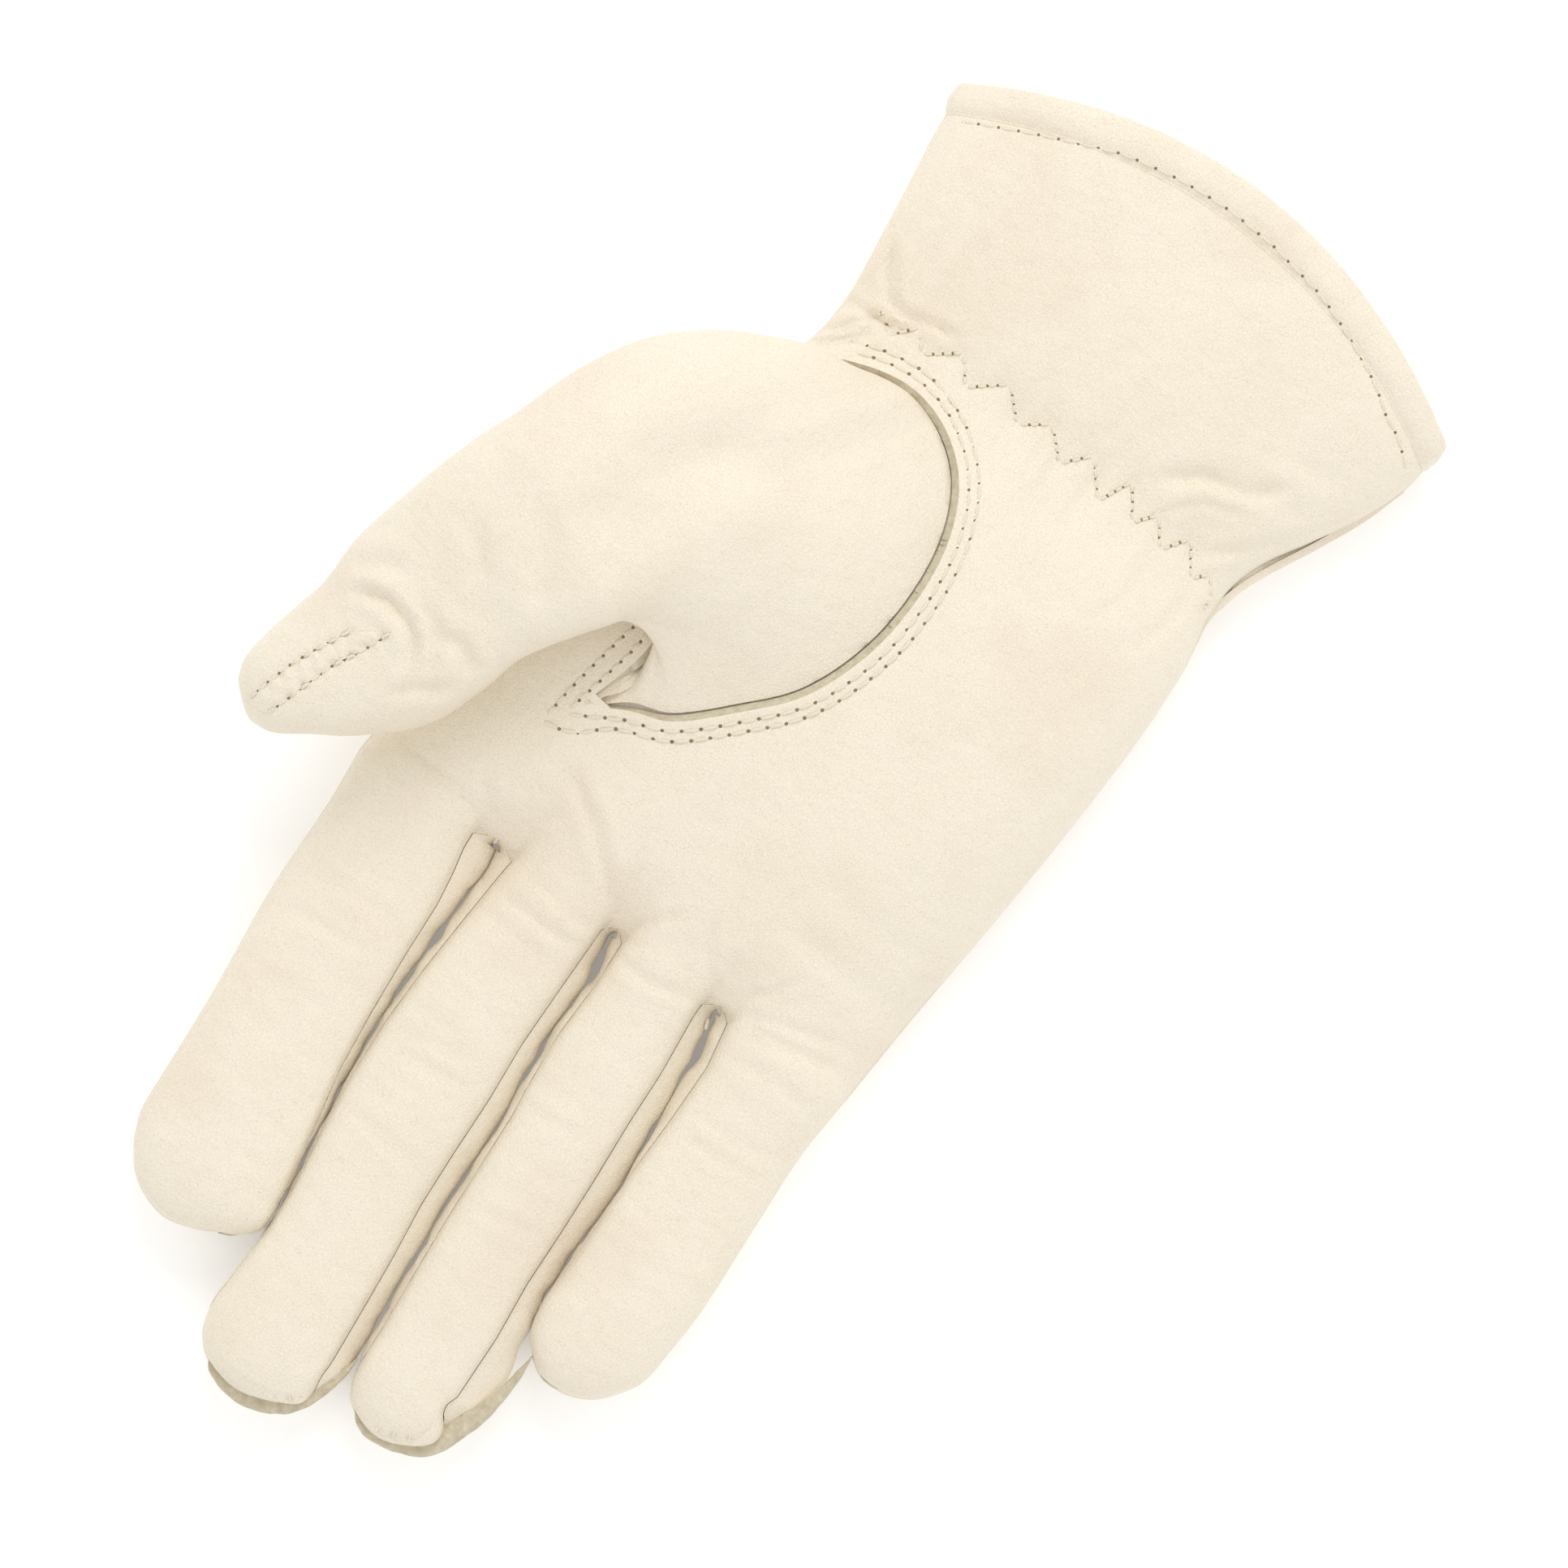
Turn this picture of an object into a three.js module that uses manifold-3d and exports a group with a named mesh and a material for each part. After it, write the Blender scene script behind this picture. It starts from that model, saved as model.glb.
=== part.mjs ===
// A cream leather dress glove for the right hand, lying on its back with the palm up.
// Millimetres. +Y runs to the fingertips, +X to the thumb side and +Z up out of the palm.
import * as THREE from 'three';
import { mergeVertices } from 'three/addons/utils/BufferGeometryUtils.js';
import Module from 'manifold-3d';

const wasm = await Module();
wasm.setup();

// Driving sizes of the leather and its seams
const WALL = 1.2;
const SEAM_GAP = 0.3;
const FOLD_GAP = 0.45;

// Driving sizes of the hand and cuff
const PALM_WIDTH = 95;
const PALM_LENGTH = 95;
const PALM_THICKNESS = 24;
const CUFF_LENGTH = 61;
const CUFF_BOW = 14;
const SEAM_HEIGHT = 8.5;
const FINGER_THICKNESS = 15;
const CROTCH_DEPTH = 1.6;
const FLAT_SHARE = 0.12;

// Driving sizes of each finger: root is where its middle leaves the palm, tip is the rounded end
const FINGERS = {
  little: { root: -15.4, width: 22, length: 63.7, tip: 14, lip: 0 },
  ring: { root: 7.9, width: 22, length: 86.3, tip: 12.5, lip: 1.8 },
  middle: { root: 29.6, width: 22, length: 94.8, tip: 13, lip: 1.8 },
  index: { root: 56.1, width: 25.5, length: 79.5, tip: 13.5, lip: 0 },
};

// Driving sizes of the thumb
const THUMB_WIDTH = 36.5;
const THUMB_THICKNESS = 17;
const THUMB_LENGTH = 58;
const THUMB_CENTRE = { x: 0.6789474 * PALM_WIDTH, y: -0.0052632 * PALM_LENGTH, z: 1.3833333 * PALM_THICKNESS };
const HOLE_WIDTH = 0.46 * PALM_WIDTH;
const HOLE_LENGTH = 0.7610526 * PALM_LENGTH;
const HOLE_PLACE = { x: 0.1242105 * PALM_WIDTH, y: -0.5421053 * PALM_LENGTH };
const FLANGE_WIDTH = 4.6;
const TIP_STRIP_WIDTH = 3.4;
const TIP_STRIP_WALL = 1;

// Driving sizes of the turned hem
const HEM_WIDTH = 5.8;
const HEM_WALL = 1;
const HEM_STAND = FOLD_GAP + HEM_WALL + 0.05;

// Body sections from the cuff's end to the finger roots. along is a share of the palm's length
// above the wrist and of the cuff's length below it, left and right are shares of the palm's
// width, peek is how far the back panel shows past the palm panel, top is a share of the palm's
// thickness, lift of the hem's height over its panel and bow of the cuff's bow.
const BODY = [
  { along: -1, left: -0.425, right: 0.578, peek: 0, top: 0.8, lift: 1, bow: 1 },
  { along: -0.86, left: -0.426, right: 0.575, peek: 0, top: 0.84, lift: 0.97, bow: 0.86 },
  { along: -0.66, left: -0.405, right: 0.56, peek: 0.006, top: 0.84, lift: 0.35, bow: 0.6 },
  { along: -0.44, left: -0.365, right: 0.545, peek: 0.016, top: 0.8, lift: 0, bow: 0.3 },
  { along: -0.28, left: -0.33, right: 0.533, peek: 0.022, top: 0.74, lift: 0, bow: 0.1 },
  { along: -0.16, left: -0.305, right: 0.526, peek: 0.016, top: 0.68, lift: 0, bow: 0 },
  { along: -0.04, left: -0.292, right: 0.53, peek: 0.004, top: 0.74, lift: 0, bow: 0 },
  { along: 0.07, left: -0.308, right: 0.553, peek: 0, top: 0.86, lift: 0, bow: 0 },
  { along: 0.2, left: -0.316, right: 0.605, peek: 0, top: 0.95, lift: 0, bow: 0 },
  { along: 0.4, left: -0.314, right: 0.66, peek: 0, top: 1, lift: 0, bow: 0 },
  { along: 0.6, left: -0.306, right: 0.695, peek: 0, top: 0.98, lift: 0, bow: 0 },
  { along: 0.8, left: -0.294, right: 0.716, peek: 0, top: 0.86, lift: 0, bow: 0 },
  { along: 1, left: -0.286, right: 0.726, peek: 0, top: 0.69, lift: 0, bow: 0 },
];

// Finger outlines. along is a share of the length up to the rounded end, left and right are
// shares of the finger's width from its root's middle, and high is a share of its thickness.
const OUTLINES = {
  little: [
    { along: 0, left: -0.53, right: 0.535, high: 1.08 },
    { along: 0.2, left: -0.515, right: 0.51, high: 1.0 },
    { along: 0.45, left: -0.555, right: 0.45, high: 0.98 },
    { along: 0.8, left: -0.615, right: 0.395, high: 1 },
    { along: 1, left: -0.605, right: 0.37, high: 1 },
  ],
  ring: [
    { along: 0, left: -0.41, right: 0.43, high: 1.08 },
    { along: 0.12, left: -0.5, right: 0.43, high: 1.0 },
    { along: 0.32, left: -0.57, right: 0.4, high: 0.98 },
    { along: 0.58, left: -0.635, right: 0.305, high: 1 },
    { along: 0.74, left: -0.655, right: 0.26, high: 1 },
    { along: 0.81, left: -0.72, right: 0.235, high: 1 },
    { along: 0.89, left: -0.82, right: 0.205, high: 1 },
    { along: 1, left: -0.84, right: 0.14, high: 1 },
  ],
  middle: [
    { along: 0, left: -0.485, right: 0.49, high: 1.08 },
    { along: 0.12, left: -0.5, right: 0.505, high: 1.02 },
    { along: 0.32, left: -0.565, right: 0.49, high: 1 },
    { along: 0.6, left: -0.67, right: 0.38, high: 1.02 },
    { along: 0.8, left: -0.74, right: 0.245, high: 1 },
    { along: 1, left: -0.835, right: 0.235, high: 1 },
  ],
  index: [
    { along: 0, left: -0.505, right: 0.505, high: 1.08 },
    { along: 0.15, left: -0.565, right: 0.46, high: 1.0 },
    { along: 0.4, left: -0.575, right: 0.425, high: 0.98 },
    { along: 0.7, left: -0.665, right: 0.325, high: 1 },
    { along: 1, left: -0.77, right: 0.255, high: 1 },
  ],
};

// How far each panel's edge lies in from the finger's outline, as shares of its width
const INSETS = {
  little: { palm: [0, 0.035], back: [0, 0.06] },
  ring: { palm: [0.14, 0.06], back: [0.06, 0.06] },
  middle: { palm: [0.12, 0.06], back: [0.06, 0.06] },
  index: { palm: [0.09, 0], back: [0.06, 0] },
};

// Thumb hole from its pointed end, round past the wrist and back. x and y are shares of the
// hole's width and length, turn is where that point's line joins the thumb, in degrees round
// its section, push is how strongly the line leaves the hole and lean is -1 outwards, 1 inwards.
const HOLE = [
  { x: 0.751, y: 1, turn: 208, push: 0.5, lean: 1, flange: 0.6 },
  { x: 0.6, y: 0.945, turn: 201, push: 0.6, lean: 1, flange: 1 },
  { x: 0.444, y: 0.905, turn: 194, push: 0.7, lean: 1, flange: 1 },
  { x: 0.27, y: 0.8, turn: 185, push: 0.8, lean: 1, flange: 1 },
  { x: 0.12, y: 0.69, turn: 176, push: 0.9, lean: 1, flange: 1 },
  { x: 0.03, y: 0.55, turn: 164, push: 0.9, lean: 1, flange: 1 },
  { x: 0, y: 0.4, turn: 151, push: 0.9, lean: 1, flange: 1 },
  { x: 0.03, y: 0.24, turn: 137, push: 0.9, lean: 1, flange: 1 },
  { x: 0.13, y: 0.11, turn: 122, push: 0.9, lean: 0.9, flange: 1 },
  { x: 0.29, y: 0.03, turn: 106, push: 0.95, lean: 0.7, flange: 1 },
  { x: 0.48, y: 0, turn: 88, push: 1.05, lean: 0.4, flange: 0.9 },
  { x: 0.68, y: 0.025, turn: 66, push: 1.3, lean: 0, flange: 0.5 },
  { x: 0.83, y: 0.08, turn: 44, push: 1.6, lean: -0.5, flange: 0.3 },
  { x: 0.93, y: 0.2, turn: 22, push: 1.8, lean: -1, flange: 0.3 },
  { x: 1, y: 0.36, turn: 0, push: 1.7, lean: -1, flange: 0.3 },
  { x: 1.02, y: 0.52, turn: -28, push: 1.2, lean: -0.6, flange: 0.3 },
  { x: 0.93, y: 0.65, turn: -60, push: 0.6, lean: 0, flange: 0.3 },
  { x: 0.8, y: 0.71, turn: -92, push: 0.4, lean: 0.3, flange: 0.25 },
  { x: 0.69, y: 0.765, turn: -118, push: 0.4, lean: 1, flange: 0.15 },
  { x: 0.685, y: 0.85, turn: -136, push: 0.4, lean: 1, flange: 0.3 },
];

// Thumb sections past the hole. along is a share of the thumb's length, aside of its width
// from the straight line, bend the section's turn in degrees, drop a share of its thickness.
const THUMB_DIRECTION = 67;
const THUMB = [
  { along: 0, aside: 0, width: 1, high: 1, drop: 0, bend: 0 },
  { along: 0.17, aside: 0.022, width: 0.93, high: 0.98, drop: 0.05, bend: -4 },
  { along: 0.3, aside: 0.008, width: 0.87, high: 0.95, drop: 0.14, bend: 2 },
  { along: 0.46, aside: -0.04, width: 0.85, high: 0.93, drop: 0.24, bend: 8 },
  { along: 0.61, aside: -0.062, width: 0.8, high: 0.92, drop: 0.33, bend: 6 },
  { along: 0.74, aside: -0.04, width: 0.72, high: 0.9, drop: 0.4, bend: -2 },
  { along: 0.86, aside: 0.008, width: 0.58, high: 0.84, drop: 0.45, bend: -8 },
  { along: 0.95, aside: 0.03, width: 0.4, high: 0.66, drop: 0.5, bend: -12 },
  { along: 0.99, aside: 0.04, width: 0.2, high: 0.36, drop: 0.53, bend: -14 },
];

// Narrow strip let into the thumb's end, along the thumb's length and round its section
const TIP_STRIP = [
  { along: 0.52, turn: 84 },
  { along: 0.62, turn: 84 },
  { along: 0.72, turn: 84 },
  { along: 0.8, turn: 84 },
  { along: 0.87, turn: 84 },
];

const LEATHER = { color: 0xf3e9d2, roughness: 0.55, metalness: 0 };
const LEATHER_EDGE = { color: 0xe9dfc6, roughness: 0.7, metalness: 0 };

const FINGER_NAMES = Object.keys(FINGERS);
const COLUMN_STEPS = [-1, -0.8, -0.32, 0.32, 0.8, 1];
const FINGER_ROWS = 8;
const TIP_STEPS = [0.3, 0.58, 0.82, 1];
const BODY_ROUND = 2.7;
const PALM_EDGE_SHARE = 0.74;
const BACK_EDGE_SHARE = 0.2;
const EDGE_ROUND = 2.2;
const EDGE_FALL = 0.82;
const LAST_BODY_ROW = 0.9;
const LIP_END_SHARE = 0.25;
const THUMB_END_ROUND = 0.6;
const THUMB_END_LEAN = 0.1;

// Value of one column of a table at a place along it, on a smooth curve through the rows
function read(table, key, at) {
  const last = table.length - 1;
  let i = 0;
  while (i < last - 1 && at > table[i + 1].along) {
    i += 1;
  }
  const slope = (j) => {
    const a = table[Math.max(j - 1, 0)];
    const b = table[Math.min(j + 1, last)];
    return (b[key] - a[key]) / (b.along - a.along);
  };
  const span = table[i + 1].along - table[i].along;
  const t = Math.min(Math.max((at - table[i].along) / span, 0), 1);
  const h = 3 * t * t - 2 * t * t * t;
  const start = slope(i) * span * (t - 2 * t * t + t * t * t);
  const end = slope(i + 1) * span * (t * t * t - t * t);
  return table[i][key] * (1 - h) + table[i + 1][key] * h + start + end;
}

function smooth(low, high, value) {
  const t = Math.min(Math.max((value - low) / (high - low), 0), 1);
  return t * t * (3 - 2 * t);
}

function rounded(share, power) {
  return Math.pow(Math.max(1 - Math.pow(Math.min(Math.abs(share), 1), power), 0), 1 / power);
}

const WRIST_Y = -PALM_LENGTH / 2;
const CROTCH_Y = PALM_LENGTH / 2;

function bodyY(along) {
  return WRIST_Y + along * (along > 0 ? PALM_LENGTH : CUFF_LENGTH);
}

// A closed solid from an outer surface: points and faces, each face turned outwards
function sheet(points, faces, wall, innerPoints = null, seamZ = null) {
  const normals = points.map(() => new THREE.Vector3());
  const edges = new Map();
  for (const face of faces) {
    const corners = face.map((i) => points[i]);
    const first = new THREE.Vector3().subVectors(corners[2], corners[0]);
    const second = new THREE.Vector3().subVectors(corners[face.length - 1], corners[1]);
    if (face.length === 3) {
      second.subVectors(corners[2], corners[1]);
    }
    const normal = first.cross(second);
    face.forEach((i, k) => {
      normals[i].add(normal);
      edges.set(`${i},${face[(k + 1) % face.length]}`, true);
    });
  }
  const inner = points.map((p, i) => {
    if (innerPoints && innerPoints[i]) {
      return innerPoints[i];
    }
    const normal = normals[i];
    if (seamZ !== null && Math.abs(p.z - seamZ) < SEAM_GAP / 10) {
      normal.z = 0;
    }
    return p.clone().addScaledVector(normal.normalize(), -wall);
  });
  const n = points.length;
  const triangles = [];
  const add = (loop) => {
    for (let k = 1; k < loop.length - 1; k += 1) {
      triangles.push(loop[0], loop[k], loop[k + 1]);
    }
  };
  for (const face of faces) {
    add(face);
    add(face.map((i) => i + n).reverse());
    face.forEach((a, k) => {
      const b = face[(k + 1) % face.length];
      if (!edges.has(`${b},${a}`)) {
        add([b, a, a + n, b + n]);
      }
    });
  }
  return { points: points.concat(inner), triangles, inner };
}

function geometryOf(solid) {
  const flat = new Float32Array(solid.triangles.length * 3);
  solid.triangles.forEach((index, k) => solid.points[index].toArray(flat, k * 3));
  const geometry = new THREE.BufferGeometry();
  geometry.setAttribute('position', new THREE.BufferAttribute(flat, 3));
  return geometry;
}

function manifoldOf(geometry) {
  const bare = geometry.clone();
  bare.deleteAttribute('normal');
  bare.deleteAttribute('uv');
  const merged = mergeVertices(bare, 1e-4);
  return new wasm.Manifold(new wasm.Mesh({
    numProp: 3,
    vertProperties: merged.attributes.position.array,
    triVerts: new Uint32Array(merged.index.array),
  }));
}

function geometryFrom(solid) {
  const mesh = solid.getMesh();
  const geometry = new THREE.BufferGeometry();
  geometry.setAttribute('position', new THREE.BufferAttribute(mesh.vertProperties, 3));
  geometry.setIndex(new THREE.BufferAttribute(mesh.triVerts, 1));
  return geometry;
}

// Where a panel's surface lies on a finger. c runs from -1 at its left edge to 1 at its right.
function fingerPoint(name, panel, along, c) {
  const size = FINGERS[name];
  const table = OUTLINES[name];
  const inset = INSETS[name][panel];
  const straight = size.length - size.tip;
  const keep = 1 - smooth(EDGE_FALL, 1, along);
  const left = size.root + size.width * (read(table, 'left', along) + inset[0] * keep);
  const right = size.root + size.width * (read(table, 'right', along) - inset[1] * keep);
  const x = (left + right) / 2 + (c * (right - left)) / 2;
  const side = c < 0 ? 0 : 1;
  const open = (name === 'little' && side === 0) || (name === 'index' && side === 1);
  const seamZ = panel === 'palm' ? SEAM_HEIGHT + SEAM_GAP / 2 : SEAM_HEIGHT - SEAM_GAP / 2;
  const edgeShare = panel === 'palm' ? PALM_EDGE_SHARE : BACK_EDGE_SHARE;
  const edge = open ? seamZ : seamZ + (edgeShare * FINGER_THICKNESS - seamZ) * keep;
  const height = read(table, 'high', along) * FINGER_THICKNESS;
  const crown = rounded(c, open ? BODY_ROUND : EDGE_ROUND);
  const y = CROTCH_Y + along * straight;
  return new THREE.Vector3(x, y, panelHeight(panel, edge, height, crown, 0));
}

function panelHeight(panel, edge, top, crown, lift) {
  if (panel === 'palm') {
    return edge + (top - edge) * crown;
  }
  return lift + (edge - lift) * Math.max(1 - crown * (1 + FLAT_SHARE), 0);
}

function tipPoint(name, panel, v, c) {
  const size = FINGERS[name];
  const table = OUTLINES[name];
  const left = size.root + size.width * read(table, 'left', 1);
  const right = size.root + size.width * read(table, 'right', 1);
  const half = (right - left) / 2;
  const across = c * Math.sqrt(1 - (v * v) / 2);
  const out = v * Math.sqrt(1 - (c * c) / 2);
  const seamZ = panel === 'palm' ? SEAM_HEIGHT + SEAM_GAP / 2 : SEAM_HEIGHT - SEAM_GAP / 2;
  const crown = rounded(Math.min(Math.hypot(across, out), 1), BODY_ROUND);
  const height = read(table, 'high', 1) * FINGER_THICKNESS;
  return new THREE.Vector3(
    (left + right) / 2 + across * half,
    CROTCH_Y + size.length - size.tip + out * size.tip,
    panelHeight(panel, seamZ, height, crown, 0),
  );
}

// Columns of a panel across the palm: each finger's steps with one between neighbours
function rootRow(panel) {
  const row = [];
  FINGER_NAMES.forEach((name, k) => {
    if (k > 0) {
      const before = fingerPoint(FINGER_NAMES[k - 1], panel, 0, 1);
      const after = fingerPoint(name, panel, 0, -1);
      const middle = before.clone().add(after).multiplyScalar(0.5);
      middle.y -= CROTCH_DEPTH;
      row.push(middle);
    }
    COLUMN_STEPS.forEach((c) => row.push(fingerPoint(name, panel, 0, c)));
  });
  return row;
}

const FINGER_BLEND = 0.2;

function bodyPoint(panel, roots, along, column) {
  const first = roots[0];
  const last = roots[roots.length - 1];
  const share = (roots[column].x - first.x) / (last.x - first.x);
  const peek = panel === 'palm' ? read(BODY, 'peek', along) : 0;
  const left = PALM_WIDTH * (read(BODY, 'left', along) + peek);
  const right = PALM_WIDTH * read(BODY, 'right', along);
  const x = left + share * (right - left);
  const s = 2 * share - 1;
  const seamZ = panel === 'palm' ? SEAM_HEIGHT + SEAM_GAP / 2 : SEAM_HEIGHT - SEAM_GAP / 2;
  const top = PALM_THICKNESS * read(BODY, 'top', along);
  const lift = HEM_STAND * read(BODY, 'lift', along);
  const z = panelHeight(panel, seamZ, top, rounded(s, BODY_ROUND), lift);
  const y = bodyY(along) + CUFF_BOW * read(BODY, 'bow', along) * s * s;
  const blend = smooth(1 - FINGER_BLEND, 1, along);
  return new THREE.Vector3(x, y, z + (roots[column].z - z) * blend);
}

// One panel: the body's rows, then each finger's rows and rounded end
function panelSurface(panel) {
  const points = [];
  const faces = [];
  const put = (p) => points.push(p) - 1;
  const quad = (a, b, c, d) => faces.push(panel === 'palm' ? [a, b, c, d] : [d, c, b, a]);
  const stitch = (low, high) => {
    for (let i = 0; i < low.length - 1; i += 1) {
      quad(low[i], low[i + 1], high[i + 1], high[i]);
    }
  };
  const roots = rootRow(panel);
  const alongs = BODY.map((row) => row.along).slice(0, -1);
  alongs.push(LAST_BODY_ROW);
  let low = null;
  const cuffRows = [];
  for (const along of alongs) {
    const row = roots.map((_, column) => put(bodyPoint(panel, roots, along, column)));
    cuffRows.push(row);
    if (low) {
      stitch(low, row);
    }
    low = row;
  }
  const crotch = roots.map((p) => put(p));
  stitch(low, crotch);
  const sides = {};
  FINGER_NAMES.forEach((name, k) => {
    const start = k * (COLUMN_STEPS.length + 1);
    let row = crotch.slice(start, start + COLUMN_STEPS.length);
    const edgeRows = [row];
    for (let i = 1; i <= FINGER_ROWS; i += 1) {
      const next = COLUMN_STEPS.map((c) => put(fingerPoint(name, panel, i / FINGER_ROWS, c)));
      stitch(row, next);
      row = next;
      edgeRows.push(row);
    }
    const rim = { left: [row[0]], right: [row[row.length - 1]], end: null };
    for (const v of TIP_STEPS) {
      const next = COLUMN_STEPS.map((c) => put(tipPoint(name, panel, v, c)));
      stitch(row, next);
      row = next;
      rim.left.push(row[0]);
      rim.right.push(row[row.length - 1]);
    }
    rim.end = row;
    sides[name] = edgeRows;
    if (panel === 'back' && FINGERS[name].lip > 0) {
      addLip(name, rim, points, faces, put);
    }
  });
  return { points, faces, crotch, sides, cuffRows };
}

// Raw seam edge turned out under a fingertip, widest at its middle
function addLip(name, rim, points, faces, put) {
  const size = FINGERS[name];
  const loop = rim.left.concat(rim.end.slice(1, -1));
  const base = points[rim.left[0]].clone().add(points[rim.right[0]]).multiplyScalar(0.5);
  const outer = loop.map((index, k) => {
    const p = points[index];
    p.z -= WALL;
    const away = new THREE.Vector3(p.x - base.x, p.y - base.y, 0).normalize();
    const swell = Math.sin((Math.PI * k) / (loop.length - 1));
    const wide = size.lip * (LIP_END_SHARE + (1 - LIP_END_SHARE) * swell);
    return put(new THREE.Vector3(p.x + away.x * wide, p.y + away.y * wide, p.z));
  });
  for (let k = 0; k < loop.length - 1; k += 1) {
    faces.push([outer[k], outer[k + 1], loop[k + 1], loop[k]]);
  }
}

const palm = panelSurface('palm');
const back = panelSurface('back');
const palmSheet = sheet(palm.points, palm.faces, WALL, null, SEAM_HEIGHT + SEAM_GAP / 2);
const backSheet = sheet(back.points, back.faces, WALL, null, SEAM_HEIGHT - SEAM_GAP / 2);

// Palm panel's height and slope over a point in plan, from the face that holds it
function palmSurface(x, y) {
  for (const face of palm.faces) {
    for (const corners of [[0, 1, 2], [0, 2, 3]]) {
      const [a, b, c] = corners.map((k) => palm.points[face[k]]);
      const area = (b.x - a.x) * (c.y - a.y) - (b.y - a.y) * (c.x - a.x);
      const u = ((x - a.x) * (c.y - a.y) - (y - a.y) * (c.x - a.x)) / area;
      const v = ((b.x - a.x) * (y - a.y) - (b.y - a.y) * (x - a.x)) / area;
      if (u >= 0 && v >= 0 && u + v <= 1) {
        const normal = new THREE.Vector3().subVectors(b, a).cross(new THREE.Vector3().subVectors(c, a));
        return { z: a.z + u * (b.z - a.z) + v * (c.z - a.z), normal: normal.normalize() };
      }
    }
  }
  return { z: SEAM_HEIGHT, normal: new THREE.Vector3(0, 0, 1) };
}

// A place on the thumb hole's outline, with the values that go with it
const HOLE_POINTS = 30;
const POINT_CLEARANCE = 5;
function holeAt(share, grow) {
  const count = HOLE.length;
  const place = share * count;
  const i = Math.floor(place) % count;
  const t = place - Math.floor(place);
  const row = HOLE[i];
  const next = HOLE[(i + 1) % count];
  const before = HOLE[(i + count - 1) % count];
  const after = HOLE[(i + 2) % count];
  const bends = (key) => {
    const a = i === 0 ? row[key] : before[key];
    const d = i === count - 1 ? next[key] : after[key];
    const p1 = row[key];
    const p2 = next[key];
    return [p1, (p2 - a) / 2, a - 2.5 * p1 + 2 * p2 - d / 2, 1.5 * (p1 - p2) + (d - a) / 2];
  };
  const curve = (key) => {
    const b = bends(key);
    return b[0] + t * (b[1] + t * (b[2] + t * b[3]));
  };
  const slope = (key) => {
    const b = bends(key);
    return b[1] + t * (2 * b[2] + t * 3 * b[3]);
  };
  const mix = (key) => row[key] + (next[key] - row[key]) * t;
  const turnEnd = next.turn > row.turn ? next.turn - 360 : next.turn;
  const x = HOLE_PLACE.x + HOLE_WIDTH * curve('x');
  const y = HOLE_PLACE.y + HOLE_LENGTH * curve('y');
  const away = (dx, dy) => new THREE.Vector3(HOLE_LENGTH * dy, -HOLE_WIDTH * dx, 0).normalize();
  const corner = i === 0 && t === 0;
  const out = away(slope('x'), slope('y'));
  if (corner) {
    out.add(away(row.x - before.x, row.y - before.y)).normalize();
  }
  const reach = corner && grow < 0 ? grow * POINT_CLEARANCE : grow;
  return {
    x: x + out.x * reach,
    y: y + out.y * reach,
    out,
    turn: ((row.turn + (turnEnd - row.turn) * t) * Math.PI) / 180,
    push: mix('push'),
    lean: mix('lean'),
    flange: mix('flange'),
  };
}

// A point of the thumb past the hole, on its outside or raised above it
const THUMB_ROUND = 0.82;
function thumbPoint(along, turn, raise = 0) {
  const heading = (THUMB_DIRECTION * Math.PI) / 180;
  const run = new THREE.Vector3(Math.cos(heading), Math.sin(heading), 0);
  const cross = new THREE.Vector3(Math.sin(heading), -Math.cos(heading), 0);
  const centre = new THREE.Vector3(THUMB_CENTRE.x, THUMB_CENTRE.y, THUMB_CENTRE.z);
  centre.addScaledVector(run, along * THUMB_LENGTH);
  centre.addScaledVector(cross, read(THUMB, 'aside', along) * THUMB_WIDTH);
  centre.z -= read(THUMB, 'drop', along) * THUMB_THICKNESS;
  const bend = (read(THUMB, 'bend', along) * Math.PI) / 180;
  const side = cross.clone().applyAxisAngle(new THREE.Vector3(0, 0, 1), bend);
  const half = (read(THUMB, 'width', along) * THUMB_WIDTH) / 2 + raise;
  const tall = (read(THUMB, 'high', along) * THUMB_THICKNESS) / 2 + raise;
  const power = (value) => Math.sign(value) * Math.pow(Math.abs(value), THUMB_ROUND);
  centre.addScaledVector(side, half * power(Math.cos(turn)));
  centre.z += tall * power(Math.sin(turn));
  return centre;
}

const RISE_ANGLE = 36;
const HOLE_CLEARANCE = 0.9;
const DOME_STEPS = [0, 0.09, 0.22, 0.38, 0.55, 0.72, 0.87];
const DOME_END = 0.9;
const COLLAR_RISE = 1.2;

// Where the leather has come up through the hole: higher where it then lies over the palm
function collarPoint(place) {
  const under = palmSurface(place.x, place.y);
  const rise = place.lean < 0.5 ? WALL + SEAM_GAP + COLLAR_RISE : -SEAM_GAP;
  return new THREE.Vector3(place.x, place.y, under.z + rise * (1 - Math.max(place.lean, 0)));
}

function domePoint(place, t) {
  const start = collarPoint(place);
  const end = thumbPoint(0, place.turn);
  const heading = (THUMB_DIRECTION * Math.PI) / 180;
  const run = new THREE.Vector3(Math.cos(heading), Math.sin(heading), 0);
  const gapVector = new THREE.Vector3().subVectors(end, start);
  const distance = gapVector.length();
  const rise = (RISE_ANGLE * Math.PI) / 180;
  const leave = new THREE.Vector3(0, 0, Math.sin(rise));
  leave.addScaledVector(place.out, -place.lean * Math.cos(rise));
  leave.multiplyScalar(distance * place.push);
  const arrive = run.multiplyScalar(DOME_END * Math.max(gapVector.dot(run), 0));
  const t2 = t * t;
  const t3 = t2 * t;
  const point = start.multiplyScalar(2 * t3 - 3 * t2 + 1);
  point.addScaledVector(leave, t3 - 2 * t2 + t);
  point.addScaledVector(end, 3 * t2 - 2 * t3);
  point.addScaledVector(arrive, t3 - t2);
  return point;
}

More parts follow.
